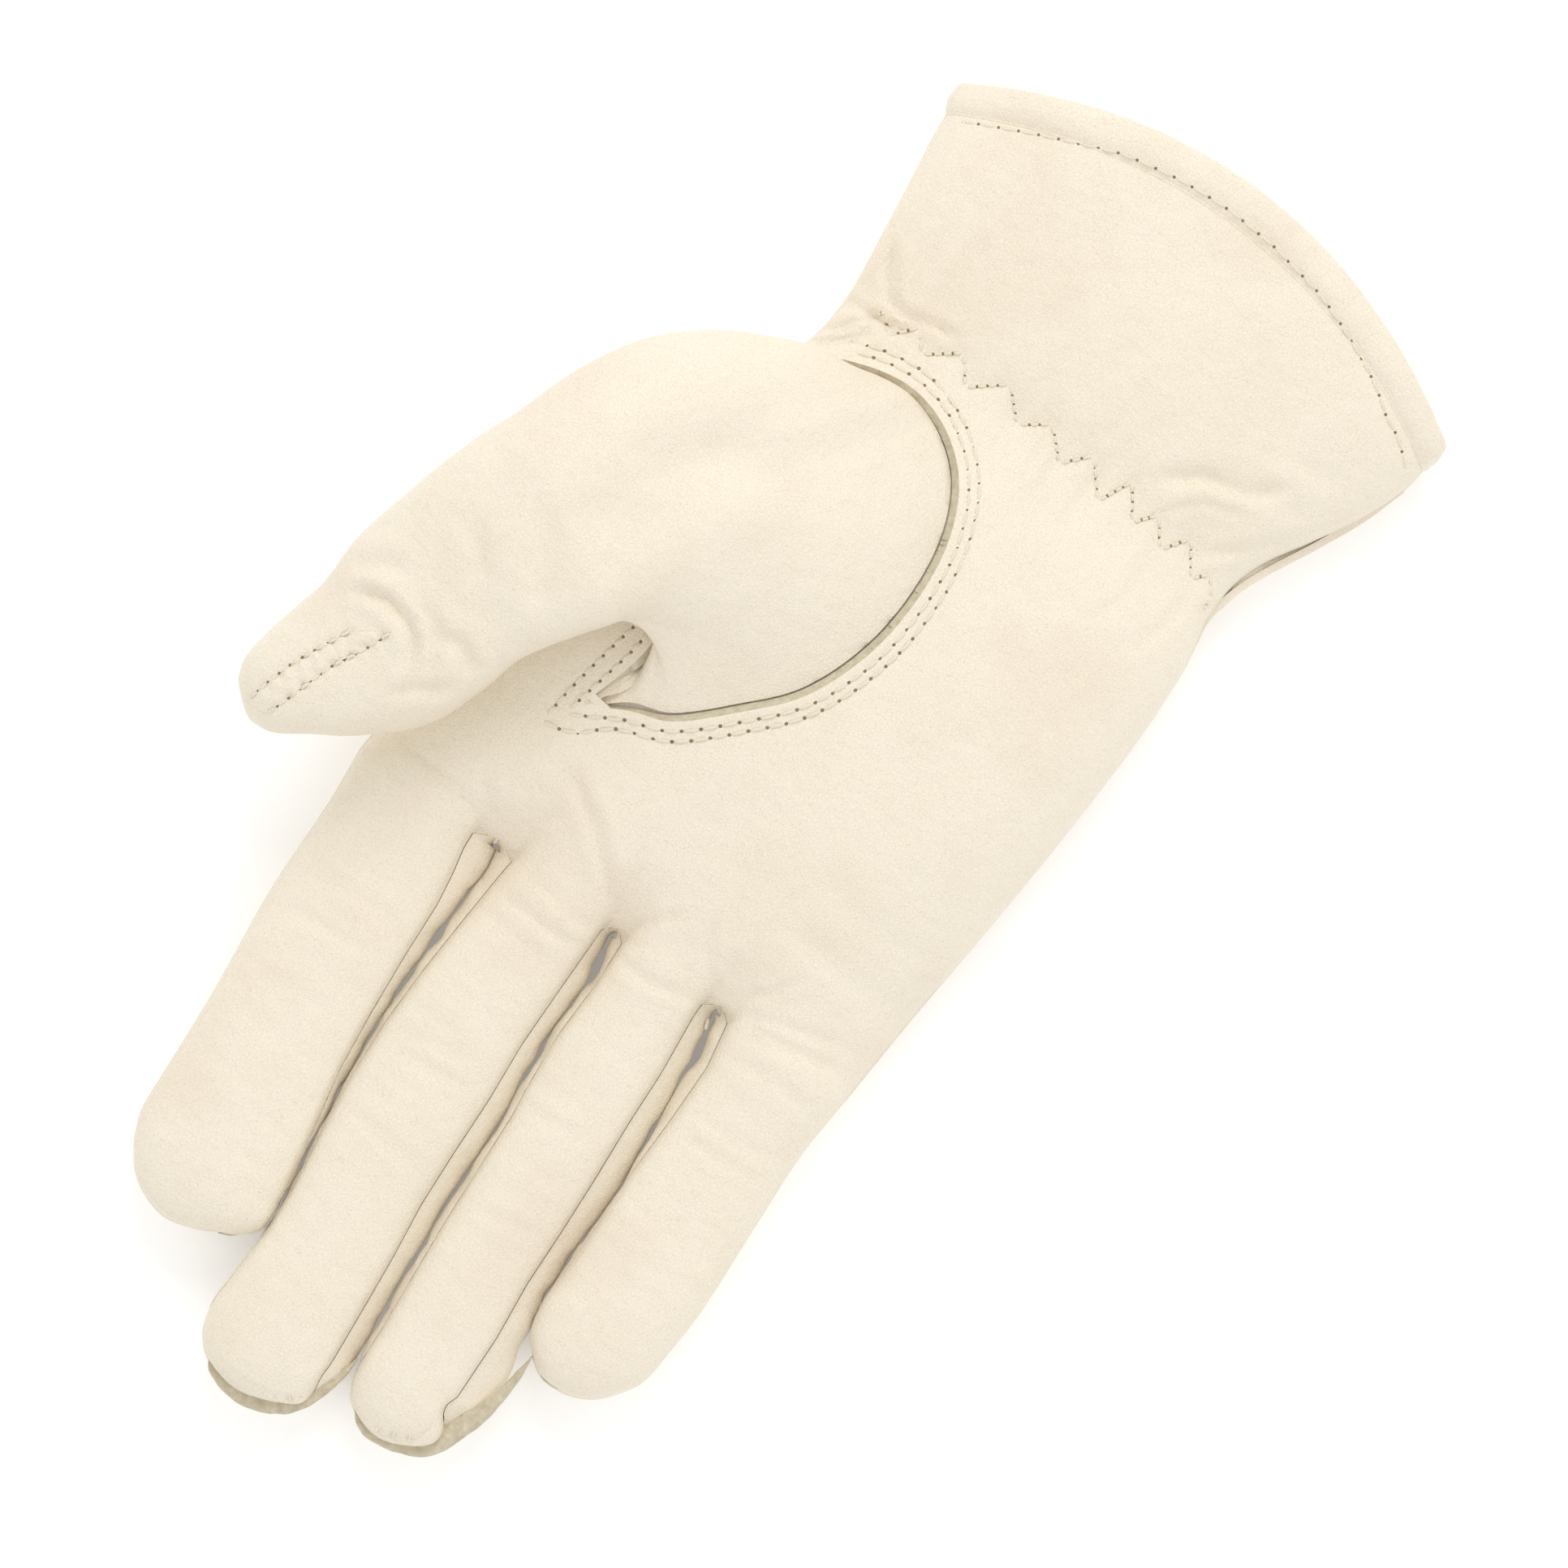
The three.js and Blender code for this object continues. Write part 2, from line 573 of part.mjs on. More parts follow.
function thumbSurface() {
  const points = [];
  const faces = [];
  const put = (p) => points.push(p) - 1;
  const shares = Array.from({ length: HOLE_POINTS }, (_, k) => k / HOLE_POINTS);
  const rings = [];
  rings.push(shares.map((share) => {
    const edge = holeAt(share, 0);
    const place = holeAt(share, FLANGE_WIDTH * edge.flange);
    const under = palmSurface(place.x, place.y);
    const point = new THREE.Vector3(place.x, place.y, under.z);
    return put(point.addScaledVector(under.normal, -(WALL + FOLD_GAP)));
  }));
  rings.push(shares.map((share) => {
    const place = holeAt(share, -HOLE_CLEARANCE);
    const under = palmSurface(place.x, place.y);
    const point = new THREE.Vector3(place.x, place.y, under.z);
    return put(point.addScaledVector(under.normal, -(WALL + FOLD_GAP)));
  }));
  for (const t of DOME_STEPS) {
    rings.push(shares.map((share) => put(domePoint(holeAt(share, -HOLE_CLEARANCE), t))));
  }
  for (const row of THUMB) {
    rings.push(shares.map((share) => put(thumbPoint(row.along, holeAt(share, 0).turn))));
  }
  for (let r = 0; r < rings.length - 1; r += 1) {
    for (let k = 0; k < HOLE_POINTS; k += 1) {
      const n = (k + 1) % HOLE_POINTS;
      faces.push([rings[r][n], rings[r + 1][n], rings[r + 1][k], rings[r][k]]);
    }
  }
  const last = rings[rings.length - 1];
  const tip = put(last.reduce((sum, i) => sum.add(points[i]), new THREE.Vector3())
    .multiplyScalar(1 / HOLE_POINTS).add(new THREE.Vector3(THUMB_END_LEAN, THUMB_END_ROUND, 0)));
  for (let k = 0; k < HOLE_POINTS; k += 1) {
    faces.push([last[(k + 1) % HOLE_POINTS], tip, last[k]]);
  }
  return { points, faces };
}

// Strip between two panels' edges round one gap between fingers
const FOURCHETTE_STEPS = [0, 0.22, 0.5, 0.78, 1];
function fourchette(before, after) {
  const rows = [];
  const last = FINGER_ROWS - 1;
  const trace = (surface, solid) => {
    const list = [];
    const width = COLUMN_STEPS.length;
    const push = (edge, inside) => {
      const outer = surface.points[edge];
      const away = new THREE.Vector3().subVectors(outer, surface.points[inside]).normalize();
      list.push({ outer, inner: solid.inner[edge], away });
    };
    for (let i = last; i >= 0; i -= 1) {
      push(surface.sides[before][i][width - 1], surface.sides[before][i][width - 2]);
    }
    const middle = FINGER_NAMES.indexOf(after) * (width + 1) - 1;
    const edge = surface.crotch[middle];
    const outer = surface.points[edge];
    list.push({ outer, inner: solid.inner[edge], away: new THREE.Vector3(0, 1, 0) });
    for (let i = 0; i <= last; i += 1) {
      push(surface.sides[after][i][0], surface.sides[after][i][1]);
    }
    return list;
  };
  const top = trace(palm, palmSheet);
  const bottom = trace(back, backSheet);
  const count = top.length;
  const middle = (count - 1) / 2;
  const points = [];
  const inner = [];
  top.forEach((edge, k) => {
    const under = bottom[k];
    const along = Math.min(Math.abs(k - middle) - 1, last) / FINGER_ROWS;
    const name = k < middle ? before : after;
    const key = k < middle ? 'right' : 'left';
    const row = [];
    for (const v of FOURCHETTE_STEPS) {
      const a = edge.outer.clone().addScaledVector(edge.away, SEAM_GAP);
      const b = under.outer.clone().addScaledVector(under.away, SEAM_GAP);
      const point = a.clone().lerp(b, v);
      const swell = Math.sin(Math.PI * v);
      if (k === middle) {
        point.y += swell * FOLD_GAP;
      } else {
        const limit = FINGERS[name].root + FINGERS[name].width * read(OUTLINES[name], key, Math.max(along, 0));
        point.x += swell * (limit - (a.x + b.x) / 2);
      }
      points.push(point);
      let inside = null;
      if (v === 0) {
        inside = edge.inner.clone().addScaledVector(edge.away, SEAM_GAP);
      }
      if (v === 1) {
        inside = under.inner.clone().addScaledVector(under.away, SEAM_GAP);
      }
      inner.push(inside);
      row.push(points.length - 1);
    }
    rows.push(row);
  });
  const faces = [];
  for (let k = 0; k < rows.length - 1; k += 1) {
    for (let i = 0; i < rows[k].length - 1; i += 1) {
      faces.push([rows[k + 1][i], rows[k + 1][i + 1], rows[k][i + 1], rows[k][i]]);
    }
  }
  return sheet(points, faces, WALL, inner);
}

// Turned hem: a folded strip round the cuff's end, on both sides of the panels
const HEM_OUTSIDE = [
  { side: 1, out: 0, past: 0 },
  { side: 1, out: 0.85, past: 0 },
  { side: 0.5, out: 1, past: 0.8 },
  { side: -0.5, out: 1, past: 0.8 },
  { side: -1, out: 0.85, past: 0 },
  { side: -1, out: 0, past: 0 },
];
const HEM_INSIDE = [
  { side: -1, out: 0, past: 0 },
  { side: -1, out: 1, past: 0 },
  { side: 1, out: 1, past: 0 },
  { side: 1, out: 0, past: 0 },
];

function hemStation(panel, solid, column) {
  const end = panel.cuffRows[0][column];
  const outward = new THREE.Vector3().subVectors(panel.points[end], panel.points[panel.cuffRows[1][column]]);
  return { end: panel.points[end].clone().lerp(solid.inner[end], 0.5), outward: outward.normalize() };
}

function cuffHem() {
  const columns = palm.cuffRows[0].map((_, column) => column);
  const loop = columns.map((column) => hemStation(palm, palmSheet, column));
  columns.slice(1, -1).reverse().forEach((column) => loop.push(hemStation(back, backSheet, column)));
  const count = loop.length;
  const outerOffset = WALL / 2 + FOLD_GAP + HEM_WALL;
  const innerOffset = WALL / 2 + FOLD_GAP;
  const points = [];
  const rings = [];
  for (let k = 0; k < count; k += 1) {
    const before = loop[(k + count - 1) % count].end;
    const after = loop[(k + 1) % count].end;
    const tangent = new THREE.Vector3().subVectors(after, before).normalize();
    const outward = loop[k].outward.clone();
    const normal = new THREE.Vector3().crossVectors(outward, tangent).normalize();
    const middle = loop[k].end;
    const ring = [];
    const reach = HEM_WIDTH - HEM_WALL - FOLD_GAP;
    const place = (row, offset) => {
      const point = middle.clone().addScaledVector(normal, row.side * offset);
      point.addScaledVector(outward, -reach + row.out * (reach + FOLD_GAP) + row.past * HEM_WALL);
      ring.push(points.push(point) - 1);
    };
    HEM_OUTSIDE.forEach((row) => place(row, outerOffset));
    HEM_INSIDE.forEach((row) => place(row, innerOffset));
    rings.push(ring);
  }
  const triangles = [];
  const size = rings[0].length;
  for (let k = 0; k < count; k += 1) {
    const next = rings[(k + 1) % count];
    for (let i = 0; i < size; i += 1) {
      const j = (i + 1) % size;
      triangles.push(rings[k][i], rings[k][j], next[j]);
      triangles.push(rings[k][i], next[j], next[i]);
    }
  }
  return { points, triangles };
}

function thumbTipStrip() {
  const points = [];
  const faces = [];
  const rows = [];
  const raise = SEAM_GAP + TIP_STRIP_WALL;
  for (const row of TIP_STRIP) {
    const half = read(THUMB, 'width', row.along) * THUMB_WIDTH / 2;
    const swing = TIP_STRIP_WIDTH / 2 / half;
    const line = [-1, 0, 1].map((side) => {
      const turn = (row.turn * Math.PI) / 180 - side * swing;
      return points.push(thumbPoint(row.along, turn, raise)) - 1;
    });
    rows.push(line);
  }
  for (let k = 0; k < rows.length - 1; k += 1) {
    for (let i = 0; i < 2; i += 1) {
      faces.push([rows[k][i], rows[k][i + 1], rows[k + 1][i + 1], rows[k + 1][i]]);
    }
  }
  return sheet(points, faces, TIP_STRIP_WALL);
}

// Keystone hole in the palm panel, cut straight down through it
const HOLE_CUT_LOW = 12;
const HOLE_CUT_HIGH = 30;
function holeCutter() {
  const outline = new THREE.Shape(Array.from({ length: HOLE_POINTS * 2 }, (_, k) => {
    const place = holeAt(k / (HOLE_POINTS * 2), 0);
    return new THREE.Vector2(place.x, place.y);
  }));
  const block = new THREE.ExtrudeGeometry(outline, {
    depth: HOLE_CUT_HIGH - HOLE_CUT_LOW,
    bevelEnabled: false,
    steps: 1,
  });
  return block.translate(0, 0, HOLE_CUT_LOW);
}

const glove = new THREE.Group();

function addPiece(name, geometry, look) {
  const mesh = new THREE.Mesh(geometry, new THREE.MeshStandardMaterial(look));
  mesh.name = name;
  mesh.geometry.computeVertexNormals();
  glove.add(mesh);
}

const palmSolid = manifoldOf(geometryOf(palmSheet)).subtract(manifoldOf(holeCutter()));
addPiece('palm_panel', geometryFrom(palmSolid), LEATHER);
addPiece('back_panel', geometryOf(backSheet), LEATHER);
const thumb = thumbSurface();
addPiece('thumb', geometryOf(sheet(thumb.points, thumb.faces, WALL)), LEATHER);
addPiece('thumb_tip_strip', geometryOf(thumbTipStrip()), LEATHER);
FINGER_NAMES.slice(1).forEach((name, k) => {
  const before = FINGER_NAMES[k];
  addPiece(`fourchette_${before}_${name}`, geometryOf(fourchette(before, name)), LEATHER);
});
addPiece('cuff_hem', geometryOf(cuffHem()), LEATHER_EDGE);

// The origin is under the middle of the whole glove
const box = new THREE.Box3().setFromObject(glove);
glove.position.set(-(box.min.x + box.max.x) / 2, -(box.min.y + box.max.y) / 2, -box.min.z);

export default glove;
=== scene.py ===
"""Looks of a cream leather dress glove for the right hand, lying on its back with the palm up."""
import math

import bpy
import numpy as np
from mathutils import Matrix, Vector
from mathutils.bvhtree import BVHTree


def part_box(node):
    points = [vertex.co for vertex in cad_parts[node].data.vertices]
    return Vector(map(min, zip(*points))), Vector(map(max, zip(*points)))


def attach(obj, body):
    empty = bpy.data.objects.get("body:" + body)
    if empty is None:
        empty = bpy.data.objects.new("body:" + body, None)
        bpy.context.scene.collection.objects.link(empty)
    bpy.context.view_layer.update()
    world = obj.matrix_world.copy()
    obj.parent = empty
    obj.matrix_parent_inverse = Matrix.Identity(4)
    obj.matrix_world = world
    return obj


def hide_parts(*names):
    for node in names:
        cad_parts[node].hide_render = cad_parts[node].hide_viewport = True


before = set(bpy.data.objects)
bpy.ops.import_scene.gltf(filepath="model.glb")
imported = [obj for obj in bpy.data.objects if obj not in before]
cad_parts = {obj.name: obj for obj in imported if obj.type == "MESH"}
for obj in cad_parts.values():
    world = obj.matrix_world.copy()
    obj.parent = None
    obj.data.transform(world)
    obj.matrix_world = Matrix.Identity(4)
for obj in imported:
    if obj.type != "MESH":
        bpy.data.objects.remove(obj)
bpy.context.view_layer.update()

# Sizes of the glove, in millimetres, as its frame has them
WALL = 1.2
SEAM_GAP = 0.3
FOLD_GAP = 0.45
PALM_WIDTH = 95
PALM_LENGTH = 95
PALM_THICKNESS = 24
CUFF_LENGTH = 61
CUFF_BOW = 14
SEAM_HEIGHT = 8.5
FINGER_THICKNESS = 15
CROTCH_DEPTH = 1.6
FLAT_SHARE = 0.12
HEM_WALL = 1
HEM_STAND = FOLD_GAP + HEM_WALL + 0.05
HEM_WIDTH = 5.8
THUMB_WIDTH = 36.5
THUMB_THICKNESS = 17
THUMB_LENGTH = 58
THUMB_CENTRE = (0.679 * PALM_WIDTH, -0.005 * PALM_LENGTH, 1.383 * PALM_THICKNESS)
THUMB_DIRECTION = math.radians(67)
THUMB_RUN = np.array([math.cos(THUMB_DIRECTION), math.sin(THUMB_DIRECTION), 0])
HOLE_WIDTH = 0.46 * PALM_WIDTH
HOLE_LENGTH = 0.761 * PALM_LENGTH
HOLE_PLACE = (0.1242 * PALM_WIDTH, -0.542 * PALM_LENGTH)
WRIST_Y = -PALM_LENGTH / 2
CROTCH_Y = PALM_LENGTH / 2
BODY_ROUND = 2.7
EDGE_ROUND = 2.2
PALM_EDGE_SHARE = 0.74
BACK_EDGE_SHARE = 0.2
FINGER_BLEND = 0.2
THUMB_ROUND = 0.82

# Details that the visual model adds
RAW_STRIP = 1.0
SIDE_STRIP = 1.9
PAST_HEM = 12
SEAM_DIP = 0.45
THIN_WALL = 0.8
STITCH_ROWS = (1.6, 3.2)
HEM_PITCH = 3.2
THUMB_STITCHES = 8
STITCH_DIP = 0.22
LIP_THICKNESS = 1.8
COLLAR_RISE = 1.2
RISE_ANGLE = math.radians(36)
DOME_END = 0.9

# The little finger's side of the wrist, as y: its middle and half its length
SIDE_MIDDLE = -70
SIDE_HALF = 22

# Pull on the thumb's leather at the hole's point, where it leaves the hole and where it reaches the thumb
POINT_LEAVE = (18, 75, 34)
POINT_ARRIVE = 55

# Finished surfaces for what lies on them, and the rows of both panels that the hem covers
TOPS = {}
CUFF_ROWS = {}

# Stitches of each kind: pitch, length, radius of the thread and rise over the leather
HOLE_STITCH = (3.1, 2.55, 0.29, 0.1)
SIDE_STITCH = (2.2, 1.75, 0.27, 0.12)
HEM_STITCH = (HEM_PITCH, 2.6, 0.25, 0.08)
THUMB_STITCH = (2.2, 1.5, 0.26, 0.22)
ZIGZAG_PITCH = 1.75
ZIGZAG_INSET = 0.35
ZIGZAG_THREAD = (0.27, 0.12)
SINGLE_THREAD = (0.27, 0.3)

# Camera straight above, the width that its frame shows at the glove, and the light's strengths
VIEW_CENTRE = np.array([11.2, 11.3])
VIEW_LEVEL = 0.018
CAMERA_HEIGHT = 1.5
FRAME_WIDTH = 0.2499
SKY_STRENGTH = 0.86
KEY_POWER = 5
FILL_POWER = 1.5

# Grid spacings of the visual meshes
STEP = 0.95
ACROSS = 27
TIP_ROWS = 13
OUTLINE_STEPS = 720
CROTCH_CELLS = 4
THUMB_AROUND = 232
RISE_ROWS = 44
STRIP_ACROSS = 15


def table(keys, rows):
    """Columns of a short table by name."""
    columns = np.array(rows, float).T
    return dict(zip(keys.split(), columns))


BODY = table("along left right peek top lift bow", [
    (-1, -0.425, 0.578, 0, 0.8, 1, 1),
    (-0.86, -0.426, 0.575, 0, 0.84, 0.97, 0.86),
    (-0.66, -0.405, 0.56, 0.006, 0.84, 0.35, 0.6),
    (-0.44, -0.365, 0.545, 0.016, 0.8, 0, 0.3),
    (-0.28, -0.33, 0.533, 0.022, 0.74, 0, 0.1),
    (-0.16, -0.305, 0.526, 0.016, 0.68, 0, 0),
    (-0.04, -0.292, 0.53, 0.004, 0.74, 0, 0),
    (0.07, -0.308, 0.553, 0, 0.86, 0, 0),
    (0.2, -0.316, 0.605, 0, 0.95, 0, 0),
    (0.4, -0.314, 0.66, 0, 1, 0, 0),
    (0.6, -0.306, 0.695, 0, 0.98, 0, 0),
    (0.8, -0.294, 0.716, 0, 0.86, 0, 0),
    (1, -0.286, 0.726, 0, 0.69, 0, 0),
])

FINGERS = {
    "little": {"root": -15.4, "width": 22, "length": 63.7, "tip": 14},
    "ring": {"root": 7.9, "width": 22, "length": 86.3, "tip": 12.5},
    "middle": {"root": 29.6, "width": 22, "length": 94.8, "tip": 13},
    "index": {"root": 56.1, "width": 25.5, "length": 79.5, "tip": 13.5},
}
OUTLINES = {
    "little": table("along left right high", [
        (0, -0.53, 0.535, 1.08), (0.2, -0.515, 0.51, 1.0), (0.45, -0.555, 0.45, 0.98),
        (0.8, -0.615, 0.395, 1), (1, -0.605, 0.37, 1),
    ]),
    "ring": table("along left right high", [
        (0, -0.41, 0.43, 1.08), (0.12, -0.5, 0.43, 1.0), (0.32, -0.57, 0.4, 0.98),
        (0.58, -0.635, 0.305, 1), (0.74, -0.655, 0.26, 1), (0.81, -0.72, 0.235, 1),
        (0.89, -0.82, 0.205, 1), (1, -0.84, 0.14, 1),
    ]),
    "middle": table("along left right high", [
        (0, -0.485, 0.49, 1.08), (0.12, -0.5, 0.505, 1.02), (0.32, -0.565, 0.49, 1),
        (0.6, -0.67, 0.38, 1.02), (0.8, -0.74, 0.245, 1), (1, -0.835, 0.235, 1),
    ]),
    "index": table("along left right high", [
        (0, -0.505, 0.505, 1.08), (0.15, -0.565, 0.46, 1.0), (0.4, -0.575, 0.425, 0.98),
        (0.7, -0.665, 0.325, 1), (1, -0.81, 0.255, 1),
    ]),
}
BACK_INSETS = {"little": (0, 0.06), "ring": (0.06, 0.06), "middle": (0.06, 0.06), "index": (0.06, 0)}
NAMES = list(FINGERS)

# Share of a plain ellipse at which each fingertip's outline lies, by bearing from the thumb side
TIP_BEARINGS = [0, 20, 35, 50, 70, 90, 110, 130, 145, 160, 180]
TIP_SHAPES = {
    "little": [1, 1.03, 1.05, 1.03, 1.03, 0.98, 0.965, 0.97, 0.975, 1.01, 1],
    "ring": [1, 1.0, 1.05, 1.1, 1.08, 1.06, 1.0, 0.98, 0.93, 0.89, 1],
    "middle": [1, 1.04, 1.075, 1.06, 1.0, 0.965, 0.93, 0.96, 1.03, 1.02, 1],
    "index": [1, 0.95, 0.94, 0.95, 0.955, 0.965, 0.93, 0.94, 1.03, 1.1, 1],
}

# The palm panel's seams on each finger, left then right, as y and x
PALM_SEAMS = {
    "little": (None, [(47.5, -4.6), (55, -6.2), (65, -6.6), (75, -6.7), (85, -7.3), (97, -7.7)]),
    "ring": ([(47.5, 0.6), (50, 0.5), (60, -0.8), (70, -1.5), (80, -2.5), (90, -3.3), (100, -3.9),
              (110, -5.2), (121, -5.8)],
             [(47.5, 16.6), (55, 16), (65, 16), (75, 14.9), (80, 14.1), (90, 13.3), (100, 12.5), (110, 11.4),
              (121, 10.2)]),
    "middle": ([(47.5, 20.6), (50, 20.5), (60, 20.2), (70, 19.8), (80, 18.7), (90, 18.1), (100, 17.3),
                (110, 15.8), (120, 14.6), (129, 13.6)],
               [(47.5, 38.6), (50, 38.8), (60, 39.2), (70, 39.5), (80, 39.4), (90, 38.6), (100, 37.1),
                (110, 35.3), (118, 34.5), (129, 34.6)]),
    "index": ([(47.5, 46.4), (50, 46.2), (55, 45), (60, 44.1), (70, 43.3), (80, 42.2), (90, 40.8),
               (100, 38.5), (105, 37.4), (113, 35.8)], None),
}

# Lines where neighbouring fingers touch, as y and x
GAPS = {
    "ring": [(44, -1.2), (47.5, -1.9), (55, -3.6), (60, -4.2), (70, -5.4), (80, -6.7), (90, -6.8),
             (100, -7.6), (106, -9)],
    "middle": [(44, 19.5), (47.9, 18.8), (55, 17.3), (65, 17.3), (75, 16.2), (80, 15.4), (90, 14.6),
               (100, 13.8), (110, 12.7), (120, 11.4), (130, 10.2), (134, 9.8)],
    "index": [(44, 42.2), (47.5, 41.9), (50, 41.2), (60, 41.2), (70, 41), (80, 40.4), (90, 39.2), (100, 37.7),
              (110, 35.8), (118, 34.9), (124, 34.6)],
}
HOLE = table("x y turn push lean", [
    (0.751, 1, 208, 0.5, 1), (0.6, 0.945, 201, 0.6, 1), (0.444, 0.905, 194, 0.7, 1),
    (0.27, 0.8, 185, 0.8, 1), (0.12, 0.69, 176, 0.9, 1), (0.03, 0.55, 164, 0.9, 1),
    (0, 0.4, 151, 0.9, 1), (0.03, 0.24, 137, 0.9, 1), (0.13, 0.11, 122, 0.9, 0.9),
    (0.29, 0.03, 106, 0.95, 0.7), (0.48, 0, 88, 1.05, 0.4), (0.68, 0.025, 66, 1.3, 0),
    (0.83, 0.08, 44, 1.6, -0.5), (0.93, 0.2, 22, 1.95, -1), (1, 0.36, 0, 2.1, -1),
    (1.02, 0.52, -28, 1.5, -0.6), (0.93, 0.65, -60, 0.6, 0), (0.8, 0.71, -92, 0.4, 0.3),
    (0.69, 0.765, -118, 0.4, 1), (0.685, 0.85, -136, 0.4, 1),
])
THUMB = table("along aside width high drop bend", [
    (0, 0, 1, 1, 0, 0), (0.17, 0.022, 0.93, 0.98, 0.05, -4), (0.3, 0.008, 0.87, 0.95, 0.14, 2),
    (0.46, -0.04, 0.85, 0.93, 0.24, 8), (0.61, -0.085, 0.765, 0.92, 0.33, 6),
    (0.74, -0.053, 0.64, 0.9, 0.4, -2), (0.86, -0.01, 0.49, 0.84, 0.45, -8),
    (0.95, 0.015, 0.34, 0.66, 0.5, -12), (0.99, 0.025, 0.18, 0.36, 0.53, -14),
])

# The glove's drawing frame sits in the part's frame by this much
PALM_LOW = np.array(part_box("palm_panel")[0]) * 1000
SHIFT = np.array([
    PALM_LOW[0] - PALM_WIDTH * BODY["left"].min(),
    PALM_LOW[1] - (WRIST_Y - CUFF_LENGTH),
    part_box("back_panel")[0][2] * 1000,
])


def read(columns, key, at):
    """One column of a table at places along it, on a smooth curve through its rows."""
    x = columns["along"]
    y = columns[key]
    at = np.clip(np.asarray(at, float), x[0], x[-1])
    i = np.clip(np.searchsorted(x, at, side="left") - 1, 0, len(x) - 2)
    low = np.maximum(np.arange(len(x)) - 1, 0)
    high = np.minimum(np.arange(len(x)) + 1, len(x) - 1)
    slopes = (y[high] - y[low]) / (x[high] - x[low])
    span = x[i + 1] - x[i]
    t = (at - x[i]) / span
    h = 3 * t**2 - 2 * t**3
    start = slopes[i] * span * (t - 2 * t**2 + t**3)
    end = slopes[i + 1] * span * (t**3 - t**2)
    return y[i] * (1 - h) + y[i + 1] * h + start + end


def smooth(low, high, value):
    """An eased step from 0 at low to 1 at high."""
    t = np.clip((np.asarray(value, float) - low) / (high - low), 0, 1)
    return t * t * (3 - 2 * t)


def rounded(share, power):
    """Height share of a rounded section, at a place from -1 to 1 across it."""
    inside = 1 - np.minimum(np.abs(share), 1) ** power
    return np.maximum(inside, 0) ** (1 / power)


def panel_height(panel, edge, top, crown, lift):
    """Height of the palm panel's outside from its edge to its top, or of the back's down to its lift."""
    if panel == "palm":
        return edge + (top - edge) * crown
    return lift + (edge - lift) * np.maximum(1 - crown * (1 + FLAT_SHARE), 0)


def seam_height(panel):
    return SEAM_HEIGHT + (SEAM_GAP / 2 if panel == "palm" else -SEAM_GAP / 2)


def finger_sides(name, panel, along, inset=True):
    """Where a panel's two edges run along a finger, at its seams or at the finger's own outline."""
    size = FINGERS[name]
    left = size["root"] + size["width"] * read(OUTLINES[name], "left", along)
    right = size["root"] + size["width"] * read(OUTLINES[name], "right", along)
    y = CROTCH_Y + np.asarray(along) * (size["length"] - size["tip"])
    if inset and panel == "back":
        left = left + size["width"] * BACK_INSETS[name][0]
        right = right - size["width"] * BACK_INSETS[name][1]
    if inset and panel == "palm":
        seams = PALM_SEAMS[name]
        if seams[0]:
            left = np.interp(y, *np.array(seams[0]).T)
        if seams[1]:
            right = np.interp(y, *np.array(seams[1]).T)
    return left, right


def cross_section(name, panel, c):
    """Where a finger's side is the hand's own, the seam's height elsewhere, and the height's curve."""
    opened = (c < 0) if name == "little" else (c >= 0) if name == "index" else np.zeros(c.shape, bool)
    between = FINGER_THICKNESS * (PALM_EDGE_SHARE if panel == "palm" else BACK_EDGE_SHARE)
    return opened, between, np.where(opened, rounded(c, BODY_ROUND), rounded(c, EDGE_ROUND))


def finger_points(name, panel, along, c):
    """Points of a panel on a finger, for arrays of places along and across it."""
    size = FINGERS[name]
    left, right = finger_sides(name, panel, along)
    x = (left + right) / 2 + c * (right - left) / 2
    opened, between, crown = cross_section(name, panel, c)
    edge = np.where(opened, seam_height(panel), between)
    high = read(OUTLINES[name], "high", along) * FINGER_THICKNESS
    y = CROTCH_Y + along * (size["length"] - size["tip"])
    z = panel_height(panel, edge, high, crown, 0)
    return np.stack(np.broadcast_arrays(x, y, z), -1)


def tip_points(name, panel, v, c, inset=True):
    """Points of a panel on a fingertip, for arrays of places out from its start and across it."""
    size = FINGERS[name]
    left, right = finger_sides(name, panel, 1, False)
    seam_left, seam_right = finger_sides(name, panel, 1, inset)
    across = c * np.sqrt(1 - v * v / 2)
    out = v * np.sqrt(1 - c * c / 2)
    reach = np.hypot(across, out)
    crown = rounded(np.minimum(reach, 1), BODY_ROUND)
    bearing = np.degrees(np.arctan2(out, across))
    bulge = np.interp(bearing, TIP_BEARINGS, TIP_SHAPES[name]) - 1
    keep = 1 - smooth(0.15, 0.95, v)
    x = (left + right) / 2 + across * (1 + bulge * reach**2) * (right - left) / 2
    side = (c + 1) / 2
    x = x + keep * ((seam_left - left) * (1 - side) + (seam_right - right) * side)
    y = CROTCH_Y + size["length"] - size["tip"] + out * (1 + bulge * reach**2) * size["tip"]
    opened, between, straight = cross_section(name, panel, c)
    seam = seam_height(panel)
    sides = 1 - (1 - smooth(0.3, 1, np.abs(c))) * smooth(0, 0.3, v)
    edge = np.where(opened, seam, seam + (between - seam) * keep * sides)
    crown = straight + (crown - straight) * smooth(0, 0.35, v)
    high = read(OUTLINES[name], "high", 1) * FINGER_THICKNESS
    return np.stack([x, y, panel_height(panel, edge, high, crown, 0)], -1)


def across_steps():
    t = np.linspace(-1, 1, ACROSS)
    return 0.5 * (t + np.sin(math.pi * t / 2))


